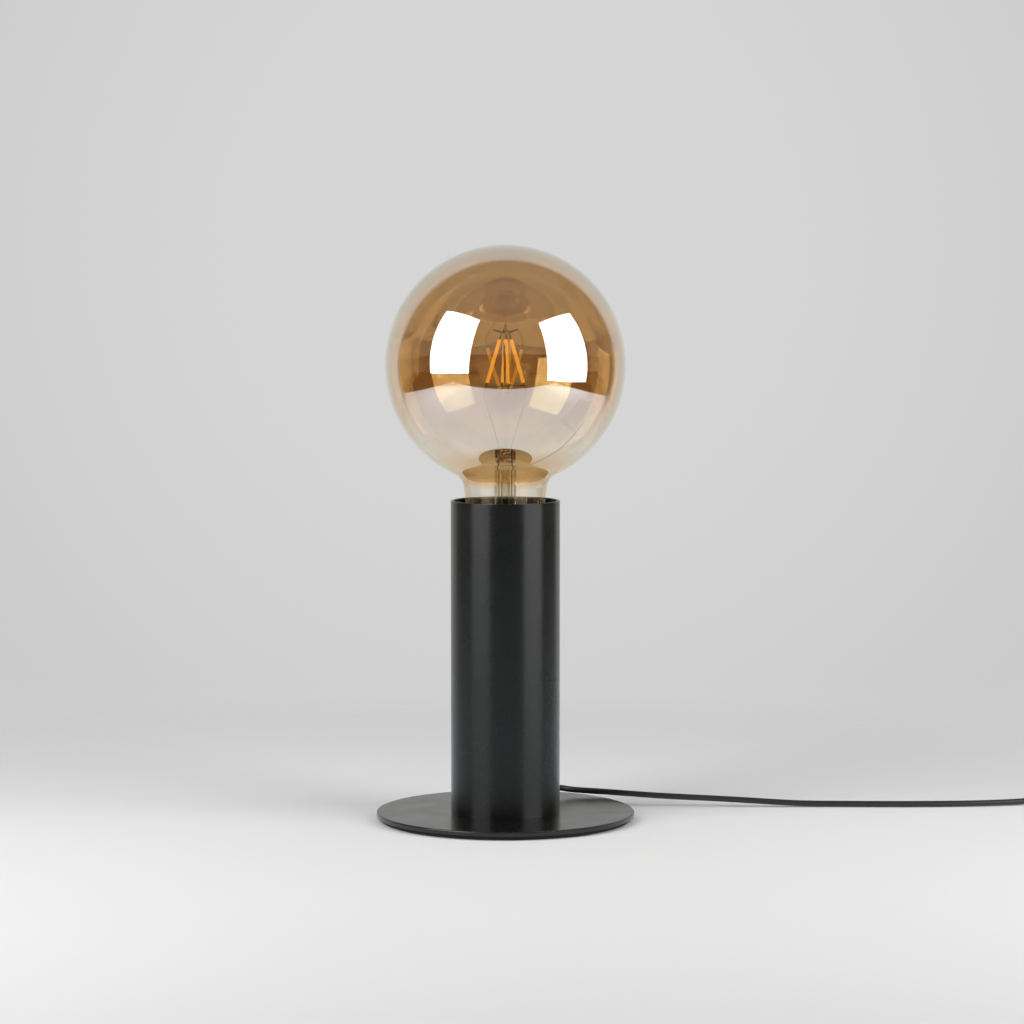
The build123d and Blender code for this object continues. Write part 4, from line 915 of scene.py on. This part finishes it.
def mirrored_room(tree, axes):
    """Colour of the room and the backdrop for mirrored rays."""
    low = mixed(tree, step_mask(tree, axes["Y"], *side_range), room_dark, room_side)
    high = mixed(tree, step_mask(tree, axes["Z"], *top_range), room_middle, room_top)
    sill = worked_out(tree, "ADD", axes["Z"], worked_out(tree, "MULTIPLY", axes["Y"], sill_slope))
    room = mixed(tree, step_mask(tree, sill, *sill_range), low, high)
    rise = worked_out(tree, "MULTIPLY", worked_out(tree, "ABSOLUTE", axes["Z"], 0.0), ring_lift)
    lean = worked_out(tree, "MULTIPLY", axes["X"], ring_lean)
    ring = worked_out(tree, "ADD", axes["Y"], worked_out(tree, "SUBTRACT", rise, lean))
    return mixed(tree, step_mask(tree, ring, *ring_range), room, backdrop_mirrored)


print("soft light on matt surfaces:", soft_light)

# %% World
def mixed_lights(tree, factor, first, second):
    """Shader between two others by the kind of ray."""
    mix = tree.nodes.new("ShaderNodeMixShader")
    tree.links.new(factor, mix.inputs["Fac"])
    tree.links.new(first, mix.inputs[1])
    tree.links.new(second, mix.inputs[2])
    return mix.outputs["Shader"]


def build_studio_world():
    """World that is pale to the eye, soft to matt surfaces and mostly dim to mirrored rays."""
    world = bpy.data.worlds.new("studio")
    world.use_nodes = True
    tree = world.node_tree
    soft = tree.nodes["Background"]
    soft.inputs["Strength"].default_value = soft_light
    soft.inputs["Color"].default_value = (1, 1, 1, 1)
    axes = place_on(tree, "Generated")[1]
    mirrored, looking = sorted_rays(tree)
    seen = tree.nodes.new("ShaderNodeBackground")
    tree.links.new(seen_wall(tree, axes), seen.inputs["Color"])
    shown = tree.nodes.new("ShaderNodeBackground")
    tree.links.new(mirrored_room(tree, axes), shown.inputs["Color"])
    eye = mixed_lights(tree, looking, soft.outputs["Background"], seen.outputs["Background"])
    every = mixed_lights(tree, mirrored, eye, shown.outputs["Background"])
    tree.links.new(every, tree.nodes["World Output"].inputs["Surface"])
    return world


bpy.context.scene.world = build_studio_world()
bpy.context.scene.view_settings.view_transform = "Standard"
print("world:", bpy.context.scene.world.name)

# %% [markdown]
# ### Lights
# Two large soft boxes stand in front, left and right, and the globe mirrors them as two bright windows. Their
# place and size follow from those windows. A wide soft light overhead fills the shadows; no surface mirrors
# it, because the photograph's globe shows only two windows.

# %% Soft boxes
globe_level = 0.2377


def hang_light(name, azimuth, elevation, distance, tip, width, height, radiance):
    """Soft box round the globe: azimuth from the camera's side towards +X, face tipped down by an angle."""
    data = bpy.data.lights.new(name, "AREA")
    data.shape = "RECTANGLE"
    data.size = width
    data.size_y = height
    data.energy = radiance * math.pi * width * height
    light = bpy.data.objects.new(name, data)
    turn = math.radians(azimuth)
    rise = math.radians(elevation)
    light.location = (
        distance * math.cos(rise) * math.sin(turn),
        -distance * math.cos(rise) * math.cos(turn),
        globe_level + distance * math.sin(rise),
    )
    light.rotation_euler = (math.radians(90 - tip), 0, turn)
    light.visible_camera = False
    bpy.context.scene.collection.objects.link(light)
    return light


hang_light("left_box", azimuth=-53.5, elevation=21.8, distance=0.85, tip=10.6, width=0.622, height=0.815,
           radiance=4.35)
hang_light("right_box", azimuth=60.5, elevation=17.3, distance=0.85, tip=3.5, width=0.647, height=0.868,
           radiance=3.5)
overhead = hang_light("overhead", azimuth=0, elevation=90, distance=1.3, tip=90, width=1.8, height=1.8,
                      radiance=0.35)
overhead.visible_glossy = False

# %% [markdown]
# ### Pieces outside the picture
# The switch, the coil and the plug lie to the right of what the photograph shows, and the globe would mirror
# them as small dark marks. Mirrored rays leave them out; the eye sees them as usual.

# %% Leave the spare cord out of mirrors
for name in switch_pieces + ["plug_body", "plug_pins"]:
    frame["nodes"][name].visible_glossy = False
plug_lead.visible_glossy = False
coil_strap.visible_glossy = False
print("mirrors leave out the switch, the coil and the plug")
